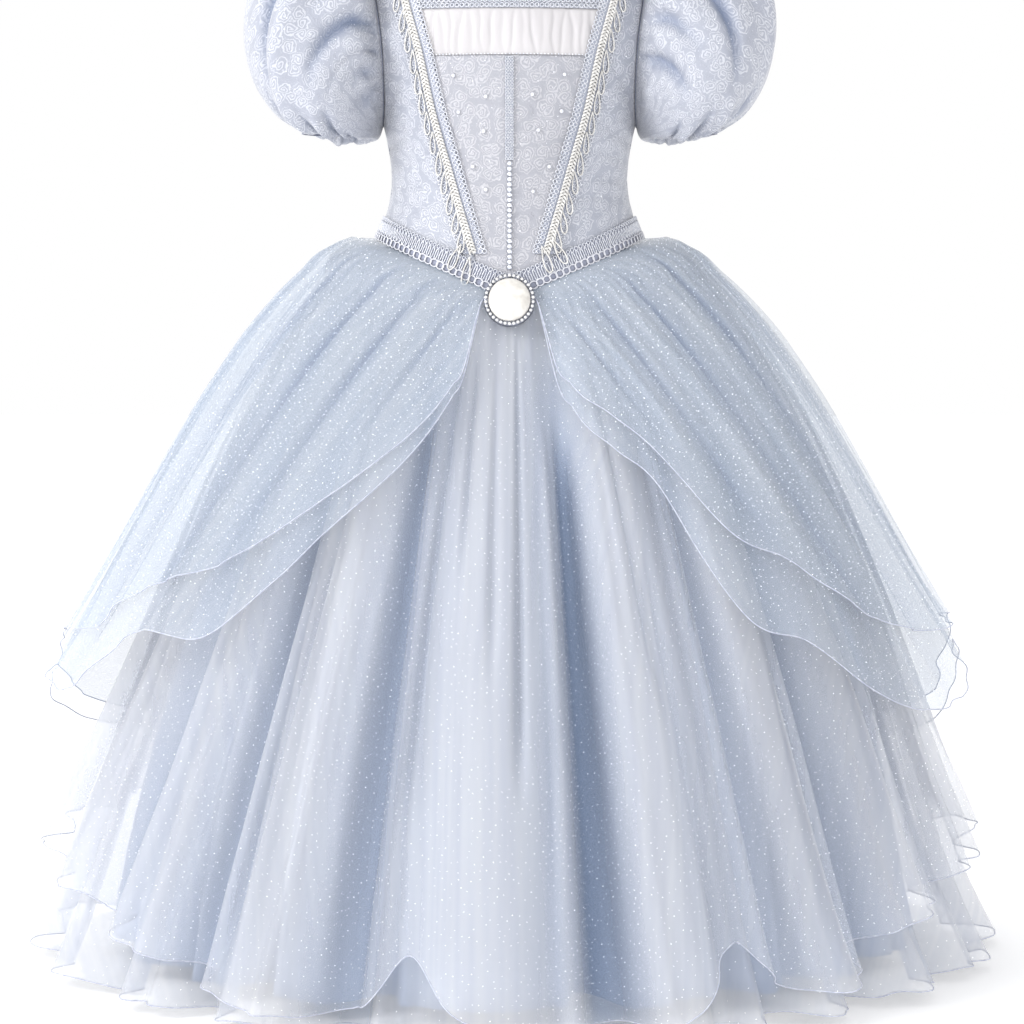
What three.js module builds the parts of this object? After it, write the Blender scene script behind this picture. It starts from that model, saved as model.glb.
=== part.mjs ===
// A child's full-length princess costume dress, filled out as if worn, with no wearer.
// Millimetres, +Z up. The front faces -Y, and +X is at the right of a picture of the front.
// The origin is midway between the two shoulder seams, where the wearer's shoulders hold the dress.
import * as THREE from 'three';

// Thickness of the cloths and trims, and the gaps that part one piece from the next.
const SATIN = 1.5;
const TULLE = 1.2;
const LACE = 1.2;
const BRAID = 2.0;
const SEAM_GAP = 0.3;
const SIDE_SEAM_GAP = 0.6;
const SHOULDER_GAP = 1.2;
const ARMHOLE_GAP = 0.9;

// Levels of the bodice's seams.
const SHOULDER = -0.2;
const STRAP_ROOT = -57;
const BAND_FOOT = -85.8;
const INSET_FOOT = -126.5;
const ARMHOLE_FOOT = -184;
const WAIST_SIDE = -284;
const WAIST_POINT = -338;
const WAIST_HALF = 119;
const POINT_ROUNDING = 5;

// The straps slope down towards the arm by this much for each millimetre past the neck.
const NECK_HALF = 78;
const SHOULDER_SLOPE = 0.25;

// Half widths of the bodice's oval section, from the waist seam up to the shoulder.
const TORSO = [
  { z: -340, side: 121, front: 97, back: 84 },
  { z: -286, side: 119, front: 92, back: 80 },
  { z: -260, side: 110, front: 87, back: 76 },
  { z: -239, side: 106, front: 85, back: 74 },
  { z: -194, side: 110, front: 88, back: 78 },
  { z: -150, side: 123, front: 91, back: 83 },
  { z: -110, side: 136, front: 90, back: 85 },
  { z: -57, side: 137, front: 80, back: 78 },
  { z: 0, side: 134, front: 76, back: 76 },
];

// Where the armhole seam crosses each level, as a distance from the centre line.
const ARMHOLE = [
  { z: -184, x: 112.5 },
  { z: -175, x: 111.2 },
  { z: -158, x: 110.5 },
  { z: -110, x: 112 },
  { z: -68, x: 118 },
  { z: -30, x: 123 },
  { z: 0, x: 125 },
];

// The slanting seams between the centre front and the side fronts, then the straps' neck edges.
const FRONT_SEAM = [
  { z: -345, x: 15 },
  { z: -336, x: 18 },
  { z: -304, x: 29 },
  { z: -263, x: 41 },
  { z: -217, x: 54 },
  { z: -178, x: 65 },
  { z: -123, x: 76 },
  { z: -79, x: 80.5 },
  { z: -57, x: 81 },
  { z: 0, x: 78 },
];

// The neck edge of the backs: a scoop that meets the straps' neck edges at the shoulder.
const BACK_NECK = [
  { z: -64, x: 0.4 },
  { z: -60, x: 22 },
  { z: -50, x: 48 },
  { z: -35, x: 68 },
  { z: -15, x: 76 },
  { z: 0, x: 78 },
];

// The middle line of the slanting lace and of the corded braid on it.
const LACE_LINE = [
  { z: -330, x: 20 },
  { z: -304, x: 29 },
  { z: -263, x: 41.5 },
  { z: -217, x: 54 },
  { z: -178, x: 65 },
  { z: -123, x: 77.5 },
  { z: -68, x: 92 },
  { z: -50, x: 95 },
  { z: -25, x: 93.5 },
  { z: 0, x: 92 },
];

// Levels of the rows of points down the bodice's panels.
const PANEL_LEVELS = [
  SHOULDER, -4, -14, -32, STRAP_ROOT, -84, -110, -135, -158, -175, ARMHOLE_FOOT, -217, -245, -272,
  WAIST_SIDE, -315, -345,
];

// The crest line of the long tulle, by the drop below the waist seam at the side. Lift raises the
// gathers above the seam, shift moves the sides towards +X, fold is how deep a full fold goes in.
// Lining is how far the lining lies inside the crests, and upper how far the upper tulle lies outside.
const SKIRT = [
  { drop: 0, lift: 0, side: 119, front: 96.5, back: 80, shift: 0, fold: 0, lining: 1.2, upper: 1.2 },
  { drop: 2, lift: 5, side: 133, front: 97.5, back: 98, shift: 0, fold: 1.5, lining: 3, upper: 2.2 },
  { drop: 8, lift: 4, side: 149, front: 100, back: 118, shift: 1, fold: 3, lining: 6, upper: 4 },
  { drop: 30, lift: 1, side: 170, front: 107, back: 144, shift: 6, fold: 6, lining: 9, upper: 5 },
  { drop: 60, lift: 0, side: 194, front: 120, back: 170, shift: 9, fold: 9, lining: 13, upper: 6 },
  { drop: 120, lift: 0, side: 232, front: 150, back: 212, shift: 10, fold: 13, lining: 18, upper: 8 },
  { drop: 200, lift: 0, side: 273, front: 193, back: 258, shift: 11, fold: 18, lining: 22, upper: 10 },
  { drop: 300, lift: 0, side: 316, front: 245, back: 305, shift: 11, fold: 24, lining: 28, upper: 13 },
  { drop: 400, lift: 0, side: 352, front: 297, back: 345, shift: 8, fold: 28, lining: 34, upper: 22 },
  { drop: 480, lift: 0, side: 380, front: 336, back: 374, shift: 4, fold: 31, lining: 42, upper: 28 },
  { drop: 545, lift: 0, side: 402, front: 365, back: 398, shift: 2, fold: 33, lining: 51, upper: 34 },
  { drop: 590, lift: 0, side: 419, front: 384, back: 415, shift: 3, fold: 34, lining: 60, upper: 37 },
  { drop: 629, lift: 0, side: 437, front: 400, back: 432, shift: 4, fold: 36, lining: 70, upper: 40 },
];

// The valleys between the big folds, by their turn from the middle of the front, and their depth.
const VALLEYS = [
  { turn: -165, depth: 0.8 },
  { turn: -147, depth: 0.95 },
  { turn: -128, depth: 0.7 },
  { turn: -110, depth: 0.9 },
  { turn: -92, depth: 0.75 },
  { turn: -73, depth: 0.85 },
  { turn: -55, depth: 0.9 },
  { turn: -38, depth: 0.75 },
  { turn: -18, depth: 0.7 },
  { turn: 11, depth: 1.0 },
  { turn: 28, depth: 0.65 },
  { turn: 45, depth: 0.9 },
  { turn: 62, depth: 0.8 },
  { turn: 80, depth: 0.7 },
  { turn: 98, depth: 0.95 },
  { turn: 117, depth: 0.75 },
  { turn: 135, depth: 0.9 },
  { turn: 155, depth: 0.7 },
  { turn: 175, depth: 0.85 },
];
const VALLEY_SHARPNESS = 2.2;

// The three full skirts. Sink is how far below the seam each one starts, reach the drop of its hem
// at the side, and rows the drops of its rows of points.
const LONG_REACH = 629;
const LINING = { sink: 5.8, lifted: 0.4, rows: [0, 8, 60, 200, 400, 605] };
const LONG = { sink: 4.0, lifted: 0.6, rows: [0, 8, 60, 200, 400, LONG_REACH] };
const UPPER = { sink: 2.2, lifted: 0.8, rows: [0, 8, 30, 80, 200, 380, 540] };
const OVERSKIRT_SINK = 0.4;
const PLAIN_COLUMNS = [0, 0.5];
const FOLD_COLUMNS = [0, 0.2, 0.5, 0.8];
const HEM_RIPPLE = 7;

// How far the hem of each overskirt panel lies below the waist seam, by the turn from the front.
const LEFT_HEM = [
  { turn: 8, drop: 12 },
  { turn: 9, drop: 62 },
  { turn: 16, drop: 126 },
  { turn: 19, drop: 155 },
  { turn: 26, drop: 179 },
  { turn: 33, drop: 246 },
  { turn: 40, drop: 302 },
  { turn: 59, drop: 336 },
  { turn: 65, drop: 376 },
  { turn: 84, drop: 380 },
  { turn: 110, drop: 451 },
  { turn: 180, drop: 520 },
];
const RIGHT_HEM = [
  { turn: 8, drop: 12 },
  { turn: 9, drop: 62 },
  { turn: 12, drop: 103 },
  { turn: 18, drop: 141 },
  { turn: 24, drop: 177 },
  { turn: 28, drop: 233 },
  { turn: 33, drop: 290 },
  { turn: 41, drop: 317 },
  { turn: 50, drop: 368 },
  { turn: 70, drop: 396 },
  { turn: 88, drop: 360 },
  { turn: 110, drop: 450 },
  { turn: 180, drop: 520 },
];
const OVERSKIRT_SHARES = [0, 0.012, 0.05, 0.15, 0.35, 0.57, 0.8, 1];
const OVERSKIRT_COLUMNS = 40;
const BACK_PARTING = 0.35;

// How the overskirt stands off the upper tulle, by its drop: the gap, and the height of its gathers.
const OVERSKIRT_STANDOFF = [
  { drop: 0, gap: 1.2, gather: 0 },
  { drop: 12, gap: 3, gather: 1.5 },
  { drop: 80, gap: 7.5, gather: 3 },
  { drop: 240, gap: 9, gather: 4.5 },
  { drop: 450, gap: 12, gather: 6 },
];
const SIDE_FLARE = 26;
const END_FLARE = 6;

// The rings of a puff sleeve, from the armhole to the cuff: the top point, the underarm point, half
// the depth from front to back, how far the front and back sag, and the height of the gathers.
const SLEEVE_RINGS = [
  { topX: 138, topZ: 6, footX: 114.2, footZ: -187, deep: 70, sag: 0, gather: 2 },
  { topX: 165, topZ: 9, footX: 114.8, footZ: -189, deep: 80, sag: 2, gather: 3.5 },
  { topX: 200, topZ: -12, footX: 115.4, footZ: -190.5, deep: 85, sag: 4, gather: 4.5 },
  { topX: 228, topZ: -52, footX: 116, footZ: -191.5, deep: 88, sag: 6, gather: 5 },
  { topX: 237, topZ: -98, footX: 116.6, footZ: -192.5, deep: 85, sag: 8, gather: 5 },
  { topX: 230, topZ: -140, footX: 117.4, footZ: -193.5, deep: 77, sag: 9, gather: 4.5 },
  { topX: 213, topZ: -168, footX: 119, footZ: -194.5, deep: 66, sag: 9, gather: 4 },
  { topX: 192, topZ: -183, footX: 121.5, footZ: -192.5, deep: 52, sag: 7, gather: 3 },
  { topX: 186.5, topZ: -178.5, footX: 125.5, footZ: -178.5, deep: 33.5, sag: 0, gather: 0 },
];
const SLEEVE_COLUMNS = 28;
const CUFF = { x: 156, top: -177, foot: -190, halfWidth: 30, halfDepth: 33, wall: 1.5, columns: 24 };

// The strip behind the centre back closure, how far it lies inside the backs' outer face.
const LAP = { top: -67, foot: -282, turn: (8 * Math.PI) / 180, depth: 2.3 };

// The inset strip's soft gathers.
const INSET_GATHERS = 16;
const INSET_GATHER_DEPTH = 2.4;

// The trims.
const WAIST_TRIM = { height: 20, scallop: 3, scallops: 36, foot: 0.3 };
const LACE_HALF = 13;
const LACE_SCALLOP = 1.6;
const LACE_FOOT = -298;
const LACE_STEP = 9;
const CORD_HALF = 5;
const CORD_STEP = 20;
const CORD_THICKNESS = 2.5;
const CENTRE_BRAID = { top: -128, foot: -217, halfTop: 3.5, halfFoot: 3.5 };
const CHAIN = { top: -217.5, foot: -312, halfTop: 3.5, halfFoot: 2.7 };
const CHAIN_THICKNESS = 2.5;

// The brooch, tilted back so that its top lies on the waist trim and its foot over the skirt.
const BROOCH = { z: -339, y: -108.8, tilt: 22, halfWidth: 22, halfHeight: 24, segments: 24 };
const SETTING = { floor: 2.2, rim: 4.2, rimWidth: 0.15 };
const CABOCHON = { share: 0.83, edge: 1.2, rise: 9 };

const DEGREE = Math.PI / 180;

function finish(colour, roughness, metalness = 0) {
  return new THREE.MeshStandardMaterial({ color: colour, roughness, metalness, side: THREE.DoubleSide });
}
const BROCADE = finish('#bac3d6', 0.55);
const PALE_BROCADE = finish('#c8cdda', 0.5);
const CREAM_SATIN = finish('#e3e1e1', 0.45);
const LINING_SATIN = finish('#b3c8e4', 0.5);
const TULLE_CLOTH = finish('#c3d4ea', 0.7);
const GLITTER_TULLE = finish('#b4cfe4', 0.65);
const SILVER_BRAID = finish('#aab2c4', 0.5);
const CREAM_CORD = finish('#e2e0dc', 0.6);
const SILVER = finish('#8f939c', 0.35, 1);
const CRYSTAL = finish('#dfe4ec', 0.15);
const PEARL = finish('#ece8e0', 0.25);

// Reads a column of a table between its rows, on a smooth curve through them.
function read(table, key, at, column) {
  const last = table.length - 1;
  const rise = (k) => (table[k + 1][column] - table[k][column]) / (table[k + 1][key] - table[k][key]);
  const slope = (k) => {
    if (k === 0) return rise(0);
    if (k === last) return rise(last - 1);
    const before = table[k][key] - table[k - 1][key];
    const after = table[k + 1][key] - table[k][key];
    return (rise(k - 1) * after + rise(k) * before) / (before + after);
  };
  let k = 0;
  while (k < last - 1 && at > table[k + 1][key]) {
    k += 1;
  }
  const width = table[k + 1][key] - table[k][key];
  const t = THREE.MathUtils.clamp((at - table[k][key]) / width, 0, 1);
  const start = table[k][column] * (1 + 2 * t) * (1 - t) ** 2 + slope(k) * width * t * (1 - t) ** 2;
  const end = table[k + 1][column] * t * t * (3 - 2 * t) - slope(k + 1) * width * t * t * (1 - t);
  return start + end;
}

// The direction out of a grid of points at each of its points.
function outward(points, ringed) {
  const rows = points.length;
  const columns = points[0].length;
  return points.map((row, i) => row.map((_, j) => {
    const next = ringed ? (j + 1) % columns : Math.min(j + 1, columns - 1);
    const previous = ringed ? (j - 1 + columns) % columns : Math.max(j - 1, 0);
    const along = row[next].clone().sub(row[previous]);
    const down = points[Math.min(i + 1, rows - 1)][j].clone().sub(points[Math.max(i - 1, 0)][j]);
    return down.cross(along).normalize();
  }));
}

// A closed wall of cloth on a grid of points, from one distance out of the grid to another. The rows
// run downwards and the columns from the front by +X to the back. A ringed wall closes on itself.
function wall(name, points, inner, outer, material, ringed = false) {
  const rows = points.length;
  const columns = points[0].length;
  const normals = outward(points, ringed);
  const positions = [];
  for (const distance of [outer, inner]) {
    for (let i = 0; i < rows; i += 1) {
      for (let j = 0; j < columns; j += 1) {
        const point = points[i][j].clone().addScaledVector(normals[i][j], distance);
        positions.push(point.x, point.y, point.z);
      }
    }
  }
  const out = (i, j) => i * columns + (j % columns);
  const back = (i, j) => rows * columns + out(i, j);
  const faces = [];
  const quad = (a, b, c, d) => faces.push(a, b, c, a, c, d);
  const spans = ringed ? columns : columns - 1;
  for (let i = 0; i < rows - 1; i += 1) {
    for (let j = 0; j < spans; j += 1) {
      quad(out(i, j), out(i + 1, j), out(i + 1, j + 1), out(i, j + 1));
      quad(back(i, j), back(i, j + 1), back(i + 1, j + 1), back(i + 1, j));
    }
    if (!ringed) {
      quad(out(i, 0), back(i, 0), back(i + 1, 0), out(i + 1, 0));
      quad(out(i, spans), out(i + 1, spans), back(i + 1, spans), back(i, spans));
    }
  }
  for (let j = 0; j < spans; j += 1) {
    quad(out(0, j), out(0, j + 1), back(0, j + 1), back(0, j));
    quad(out(rows - 1, j), back(rows - 1, j), back(rows - 1, j + 1), out(rows - 1, j + 1));
  }
  const geometry = new THREE.BufferGeometry();
  geometry.setAttribute('position', new THREE.Float32BufferAttribute(positions, 3));
  geometry.setIndex(faces);
  geometry.computeVertexNormals();
  const mesh = new THREE.Mesh(geometry, material);
  mesh.name = name;
  return mesh;
}

function movedOut(points, distance) {
  const normals = outward(points, false);
  return points.map((row, i) => row.map((point, j) => (
    point.clone().addScaledVector(normals[i][j], typeof distance === 'function' ? distance(i, j) : distance)
  )));
}

function mirrored(points) {
  return points.map((row) => row.map((point) => new THREE.Vector3(-point.x, point.y, point.z)).reverse());
}

function even(count, from, to) {
  return Array.from({ length: count }, (_, k) => THREE.MathUtils.lerp(from, to, k / (count - 1)));
}

// The bodice's sections at the panels' levels. Above the straps' roots they close over the shoulder.
const SECTIONS = PANEL_LEVELS.map((z) => {
  const closed = Math.sqrt(1 - Math.max(1 - z / STRAP_ROOT, 0) ** 2);
  return {
    side: read(TORSO, 'z', z, 'side'),
    front: read(TORSO, 'z', z, 'front') * closed,
    back: read(TORSO, 'z', z, 'back') * closed,
    slope: SHOULDER_SLOPE * THREE.MathUtils.smoothstep(z, STRAP_ROOT, 0),
  };
});

// One size of the section at a level. It changes evenly from one of the panels' levels to the next,
// so that a trim with closer rows lies flat on the panels.
function section(z, column) {
  let k = 0;
  while (k < PANEL_LEVELS.length - 2 && z < PANEL_LEVELS[k + 1]) {
    k += 1;
  }
  const share = (PANEL_LEVELS[k] - z) / (PANEL_LEVELS[k] - PANEL_LEVELS[k + 1]);
  return THREE.MathUtils.lerp(SECTIONS[k][column], SECTIONS[k + 1][column], Math.max(share, 0));
}

// A point of the bodice's outer face.
function torsoPoint(turn, z) {
  const x = section(z, 'side') * Math.sin(turn);
  const y = -section(z, Math.cos(turn) > 0 ? 'front' : 'back') * Math.cos(turn);
  const past = Math.max(Math.abs(x) - NECK_HALF, 0);
  return new THREE.Vector3(x, y, z - section(z, 'slope') * past);
}

function turnAt(x, z) {
  return Math.asin(THREE.MathUtils.clamp(x / section(z, 'side'), -1, 1));
}

// The edge of the side front at a level: the armhole, and below it the side seam.
function armholeTurn(z) {
  const seamTurn = Math.PI / 2 - SIDE_SEAM_GAP / 2 / section(z, 'side');
  return z <= ARMHOLE_FOOT ? seamTurn : Math.min(turnAt(read(ARMHOLE, 'z', z, 'x'), z), seamTurn);
}

function levelsBetween(top, foot) {
  return PANEL_LEVELS.filter((z) => z < top && z > foot);
}

// The waist seam runs level round the back and down to a point in the middle of the front.
function waistLevel(turn) {
  if (Math.cos(turn) <= 0) {
    return WAIST_SIDE;
  }
  const x = Math.hypot(WAIST_HALF * Math.sin(turn), POINT_ROUNDING);
  return WAIST_POINT + (WAIST_SIDE - WAIST_POINT) * Math.min(x / WAIST_HALF, 1);
}

// The turn and level where a panel's column meets the waist seam, found by closing in on it.
function waistFoot(turnOf) {
  let z = WAIST_SIDE;
  for (let pass = 0; pass < 12; pass += 1) {
    z = waistLevel(turnOf(z));
  }
  return z;
}

// A panel's grid on the torso, between two edges that are given as turns at a level. A level of
// null stands for the waist seam.
function panelGrid(levels, columns, firstTurn, lastTurn) {
  return levels.map((level) => even(columns, 0, 1).map((share) => {
    const turnOf = (z) => THREE.MathUtils.lerp(firstTurn(z), lastTurn(z), share);
    const z = level ?? waistFoot(turnOf);
    return torsoPoint(turnOf(z), z);
  }));
}

function closeAtShoulder(points, side) {
  for (const point of points[0]) {
    point.y = side * SHOULDER_GAP / 2;
  }
  return points;
}

function bodiceParts() {
  const half = SEAM_GAP / 2;
  const seam = (z) => read(FRONT_SEAM, 'z', z, 'x');
  const seamTurn = (z, gap) => turnAt(seam(z) + gap, z);
  const leftEdge = (z) => -seamTurn(z, -half);
  const rightEdge = (z) => seamTurn(z, -half);
  const centreTop = INSET_FOOT - SEAM_GAP;
  const centreLevels = [centreTop, ...levelsBetween(centreTop, WAIST_SIDE), null];
  const centre = panelGrid(centreLevels, 11, leftEdge, rightEdge);

  const insetRows = even(4, BAND_FOOT - SEAM_GAP, INSET_FOOT);
  const flatInset = panelGrid(insetRows, 2 * INSET_GATHERS + 1, leftEdge, rightEdge);
  const inset = movedOut(flatInset, (i, j) => {
    const swell = Math.sin((i / (insetRows.length - 1)) * Math.PI);
    return j % 2 ? 0 : -INSET_GATHER_DEPTH * (0.35 + 0.65 * swell);
  });

  const band = panelGrid(even(3, STRAP_ROOT, BAND_FOOT), 11, leftEdge, rightEdge);

  const sideLevels = [...levelsBetween(0, WAIST_SIDE), null];
  const sideFront = closeAtShoulder(panelGrid(sideLevels, 8, (z) => seamTurn(z, half), armholeTurn), -1);

  const neckTurn = (z) => Math.PI - turnAt(read(BACK_NECK, 'z', z, 'x'), z);
  const scoop = [-50, -64];
  const below = levelsBetween(-64, WAIST_SIDE);
  const backLevels = [...levelsBetween(0, STRAP_ROOT), ...scoop, ...below, WAIST_SIDE];
  const back = closeAtShoulder(panelGrid(backLevels, 8, (z) => Math.PI - armholeTurn(z), neckTurn), 1);

  const lapLevels = [LAP.top, ...levelsBetween(LAP.top, LAP.foot), LAP.foot];
  const lap = panelGrid(lapLevels, 5, () => Math.PI - LAP.turn, () => Math.PI + LAP.turn);

  return [
    wall('centre_front', centre, -SATIN, 0, PALE_BROCADE),
    wall('inset', inset, -TULLE, 0, CREAM_SATIN),
    wall('neck_band', band, -SATIN, 0, BROCADE),
    wall('side_front_right', sideFront, -SATIN, 0, BROCADE),
    wall('side_front_left', mirrored(sideFront), -SATIN, 0, BROCADE),
    wall('back_right', back, -SATIN, 0, BROCADE),
    wall('back_left', mirrored(back), -SATIN, 0, BROCADE),
    wall('back_underlap', lap, -LAP.depth - SATIN, -LAP.depth, BROCADE),
  ];
}

// The armhole seam as a closed line, round from the top by the back. It follows the panels' edges
// from one of their levels to the next, and stands just off them.
function armholePoint(angle) {
  const levels = [...levelsBetween(0, ARMHOLE_FOOT), ARMHOLE_FOOT];
  const z = THREE.MathUtils.clamp((ARMHOLE_FOOT / 2) * (1 - Math.cos(angle)), ARMHOLE_FOOT, SHOULDER);
  const k = Math.min(levels.filter((level) => level > z).length, levels.length - 1);
  const edge = [Math.max(k - 1, 0), k].map((n) => {
    const turn = armholeTurn(levels[n]);
    return torsoPoint(Math.sin(angle) > 0 ? Math.PI - turn : turn, levels[n]);
  });
  const share = k ? (levels[k - 1] - z) / (levels[k - 1] - levels[k]) : 0;
  const point = edge[0].lerp(edge[1], share);
  point.x += ARMHOLE_GAP;
  return point;
}

function sleeveGrid() {
  const angles = Array.from({ length: SLEEVE_COLUMNS }, (_, j) => (j / SLEEVE_COLUMNS) * 2 * Math.PI);
  const rings = SLEEVE_RINGS.map((ring) => angles.map((angle, j) => {
    const middle = new THREE.Vector3((ring.topX + ring.footX) / 2, 0, (ring.topZ + ring.footZ) / 2);
    const up = new THREE.Vector3((ring.topX - ring.footX) / 2, 0, (ring.topZ - ring.footZ) / 2);
    const out = up.multiplyScalar(Math.cos(angle)).add(new THREE.Vector3(0, ring.deep * Math.sin(angle), 0));
    const underarm = ((1 - Math.cos(angle)) / 2) ** 3;
    const gather = (j % 2 ? 0.5 : -0.5) * ring.gather * (1 - underarm);
    middle.z -= ring.sag * Math.sin(angle) ** 2;
    return middle.add(out.setLength(out.length() + gather));
  }));
  return [angles.map(armholePoint), ...rings];
}

function ovalGrid(oval) {
  return [oval.top, oval.foot].map((z) => Array.from({ length: oval.columns }, (_, j) => {
    const angle = (j / oval.columns) * 2 * Math.PI;
    return new THREE.Vector3(oval.x + oval.halfWidth * Math.sin(angle), -oval.halfDepth * Math.cos(angle), z);
  }));
}

function sleeveParts() {
  const sleeve = sleeveGrid();
  const cuff = ovalGrid(CUFF);
  return [
    wall('sleeve_right', sleeve, -SATIN, 0, BROCADE, true),
    wall('sleeve_left', mirrored(sleeve), -SATIN, 0, BROCADE, true),
    wall('cuff_right', cuff, -CUFF.wall, 0, SILVER_BRAID, true),
    wall('cuff_left', mirrored(cuff), -CUFF.wall, 0, SILVER_BRAID, true),
  ];
}

// The crest line of the skirts at a turn and drop, moved out by a distance.
function skirtPoint(turn, drop, out, z) {
  const side = read(SKIRT, 'drop', drop, 'side');
  const deep = read(SKIRT, 'drop', drop, Math.cos(turn) > 0 ? 'front' : 'back');
  const crest = new THREE.Vector3(side * Math.sin(turn), -deep * Math.cos(turn), 0);
  crest.setLength(crest.length() + out);
  crest.x += read(SKIRT, 'drop', drop, 'shift') * Math.sin(turn) ** 2;
  crest.z = z;
  return crest;
}

// The skirts hang to a level hem, so a drop at the front counts for less than one at the side.
function dropScale(turn) {
  const hem = WAIST_SIDE - LONG_REACH;
  return (waistLevel(turn) - hem) / LONG_REACH;
}

function liftAt(turn, drop) {
  const share = Math.cos(turn) > 0 ? Math.sin(turn) ** 2 : 1;
  return read(SKIRT, 'drop', drop, 'lift') * share;
}

// The turns of a full skirt's columns: each fold has the same few, set by its own two valleys.
function foldColumns(shares) {
  return VALLEYS.flatMap((valley, k) => {
    const next = VALLEYS[(k + 1) % VALLEYS.length];
    const width = (next.turn - valley.turn + 360) % 360;
    return shares.map((share) => {
      const hollow = Math.abs(Math.cos(share * Math.PI)) ** VALLEY_SHARPNESS;
      const depth = THREE.MathUtils.lerp(valley.depth, next.depth, share);
      const turn = (valley.turn + width * share) * DEGREE;
      return { turn, hollow: hollow * depth, ripple: Math.sin(share * Math.PI) };
    });
  });
}

function skirtGrid(layer, shares, standoff, folded) {
  return layer.rows.map((drop, i) => foldColumns(shares).map((column) => {
    const last = i === layer.rows.length - 1;
    const fold = folded * read(SKIRT, 'drop', drop, 'fold') * column.hollow;
    const ripple = last ? folded * HEM_RIPPLE * column.ripple : 0;
    const top = waistLevel(column.turn) - layer.sink;
    const z = top - drop * dropScale(column.turn) + layer.lifted * liftAt(column.turn, drop) + ripple;
    return skirtPoint(column.turn, drop, standoff(drop) - fold, z);
  }));
}

// One panel of the overskirt, on the side of +X or -X. It starts under the brooch and ends at the
// middle of the back, and its lower edge sweeps up to the brooch.
function overskirtGrid(hem, side) {
  const turns = [8, ...even(OVERSKIRT_COLUMNS, 9, 180 - BACK_PARTING)];
  const ordered = side > 0 ? turns : turns.reverse();
  return OVERSKIRT_SHARES.map((share) => ordered.map((degrees, j) => {
    const turn = side * degrees * DEGREE;
    const length = read(hem, 'turn', degrees, 'drop');
    const drop = Math.min((share * length) / dropScale(turn), LONG_REACH);
    const flare = THREE.MathUtils.lerp(END_FLARE, SIDE_FLARE, Math.sin(turn) ** 2) * share ** 2;
    const gather = j % 2 ? read(OVERSKIRT_STANDOFF, 'drop', drop, 'gather') : 0;
    const gap = read(OVERSKIRT_STANDOFF, 'drop', drop, 'gap');
    const out = read(SKIRT, 'drop', drop, 'upper') + gap + gather + flare;
    const z = waistLevel(turn) - OVERSKIRT_SINK - share * length + liftAt(turn, drop);
    return skirtPoint(turn, drop, out, z);
  }));
}

function skirtParts() {
  const lining = skirtGrid(LINING, PLAIN_COLUMNS, (drop) => -read(SKIRT, 'drop', drop, 'lining'), 0);
  const long = skirtGrid(LONG, FOLD_COLUMNS, () => 0, 1);
  const upper = skirtGrid(UPPER, FOLD_COLUMNS, (drop) => read(SKIRT, 'drop', drop, 'upper'), 1);
  return [
    wall('skirt_lining', lining, -SATIN, 0, LINING_SATIN, true),
    wall('tulle_long', long, -TULLE, 0, TULLE_CLOTH, true),
    wall('tulle_upper', upper, -TULLE, 0, TULLE_CLOTH, true),
    wall('overskirt_right', overskirtGrid(RIGHT_HEM, 1), -TULLE, 0, GLITTER_TULLE),
    wall('overskirt_left', overskirtGrid(LEFT_HEM, -1), -TULLE, 0, GLITTER_TULLE),
  ];
}

// The braid that covers the waist seam, with small scallops along its lower edge.
function waistTrim() {
  const columns = 2 * WAIST_TRIM.scallops + 1;
  const turns = even(columns, -Math.PI + 0.02, Math.PI - 0.02);
  const heights = [WAIST_TRIM.height, WAIST_TRIM.height / 2, 0];
  const points = heights.map((height, i) => turns.map((turn, j) => {
    const scallop = i === 2 && j % 2 === 0 ? WAIST_TRIM.scallop : 0;
    return torsoPoint(turn, waistLevel(turn) + WAIST_TRIM.foot + height + scallop);
  }));
  return wall('waist_trim', points, SEAM_GAP, SEAM_GAP + BRAID, SILVER_BRAID);
}

// Levels from one to another, with a row on each of the panels' levels and close rows between them.
function closeLevels(top, foot, step) {
  const stops = [top, ...levelsBetween(top, foot), foot];
  return stops.slice(1).flatMap((next, k) => {
    const spans = Math.max(Math.round((stops[k] - next) / step), 1);
    return even(spans + 1, stops[k], next).slice(k ? 1 : 0);
  });
}

// A strip of trim down the front, on both sides of a middle line.
function stripGrid(levels, middle, halfWidth) {
  return levels.map((z, i) => [-1, 0, 1].map((side) => (
    torsoPoint(turnAt(middle(z) + side * halfWidth(i / (levels.length - 1), i), z), z)
  )));
}

function frontTrims() {
  const laceLine = (z) => read(LACE_LINE, 'z', z, 'x');
  const laceLevels = closeLevels(SHOULDER, LACE_FOOT, LACE_STEP);
  const scalloped = (_, i) => LACE_HALF - (i % 2 ? LACE_SCALLOP : 0);
  const lace = closeAtShoulder(stripGrid(laceLevels, laceLine, scalloped), -1);
  const cordLevels = closeLevels(SHOULDER, LACE_FOOT, CORD_STEP);
  const cord = closeAtShoulder(stripGrid(cordLevels, laceLine, () => CORD_HALF), -1);
  const onLace = SEAM_GAP + LACE + SEAM_GAP;
  const strip = (size) => stripGrid(
    closeLevels(size.top, size.foot, CORD_STEP),
    () => 0,
    (share) => THREE.MathUtils.lerp(size.halfTop, size.halfFoot, share),
  );
  return [
    wall('lace_right', lace, SEAM_GAP, SEAM_GAP + LACE, SILVER_BRAID),
    wall('lace_left', mirrored(lace), SEAM_GAP, SEAM_GAP + LACE, SILVER_BRAID),
    wall('cream_braid_right', cord, onLace, onLace + CORD_THICKNESS, CREAM_CORD),
    wall('cream_braid_left', mirrored(cord), onLace, onLace + CORD_THICKNESS, CREAM_CORD),
    wall('centre_braid', strip(CENTRE_BRAID), SEAM_GAP, SEAM_GAP + BRAID, SILVER_BRAID),
    wall('rhinestone_chain', strip(CHAIN), SEAM_GAP, SEAM_GAP + CHAIN_THICKNESS, CRYSTAL),
  ];
}

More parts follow.
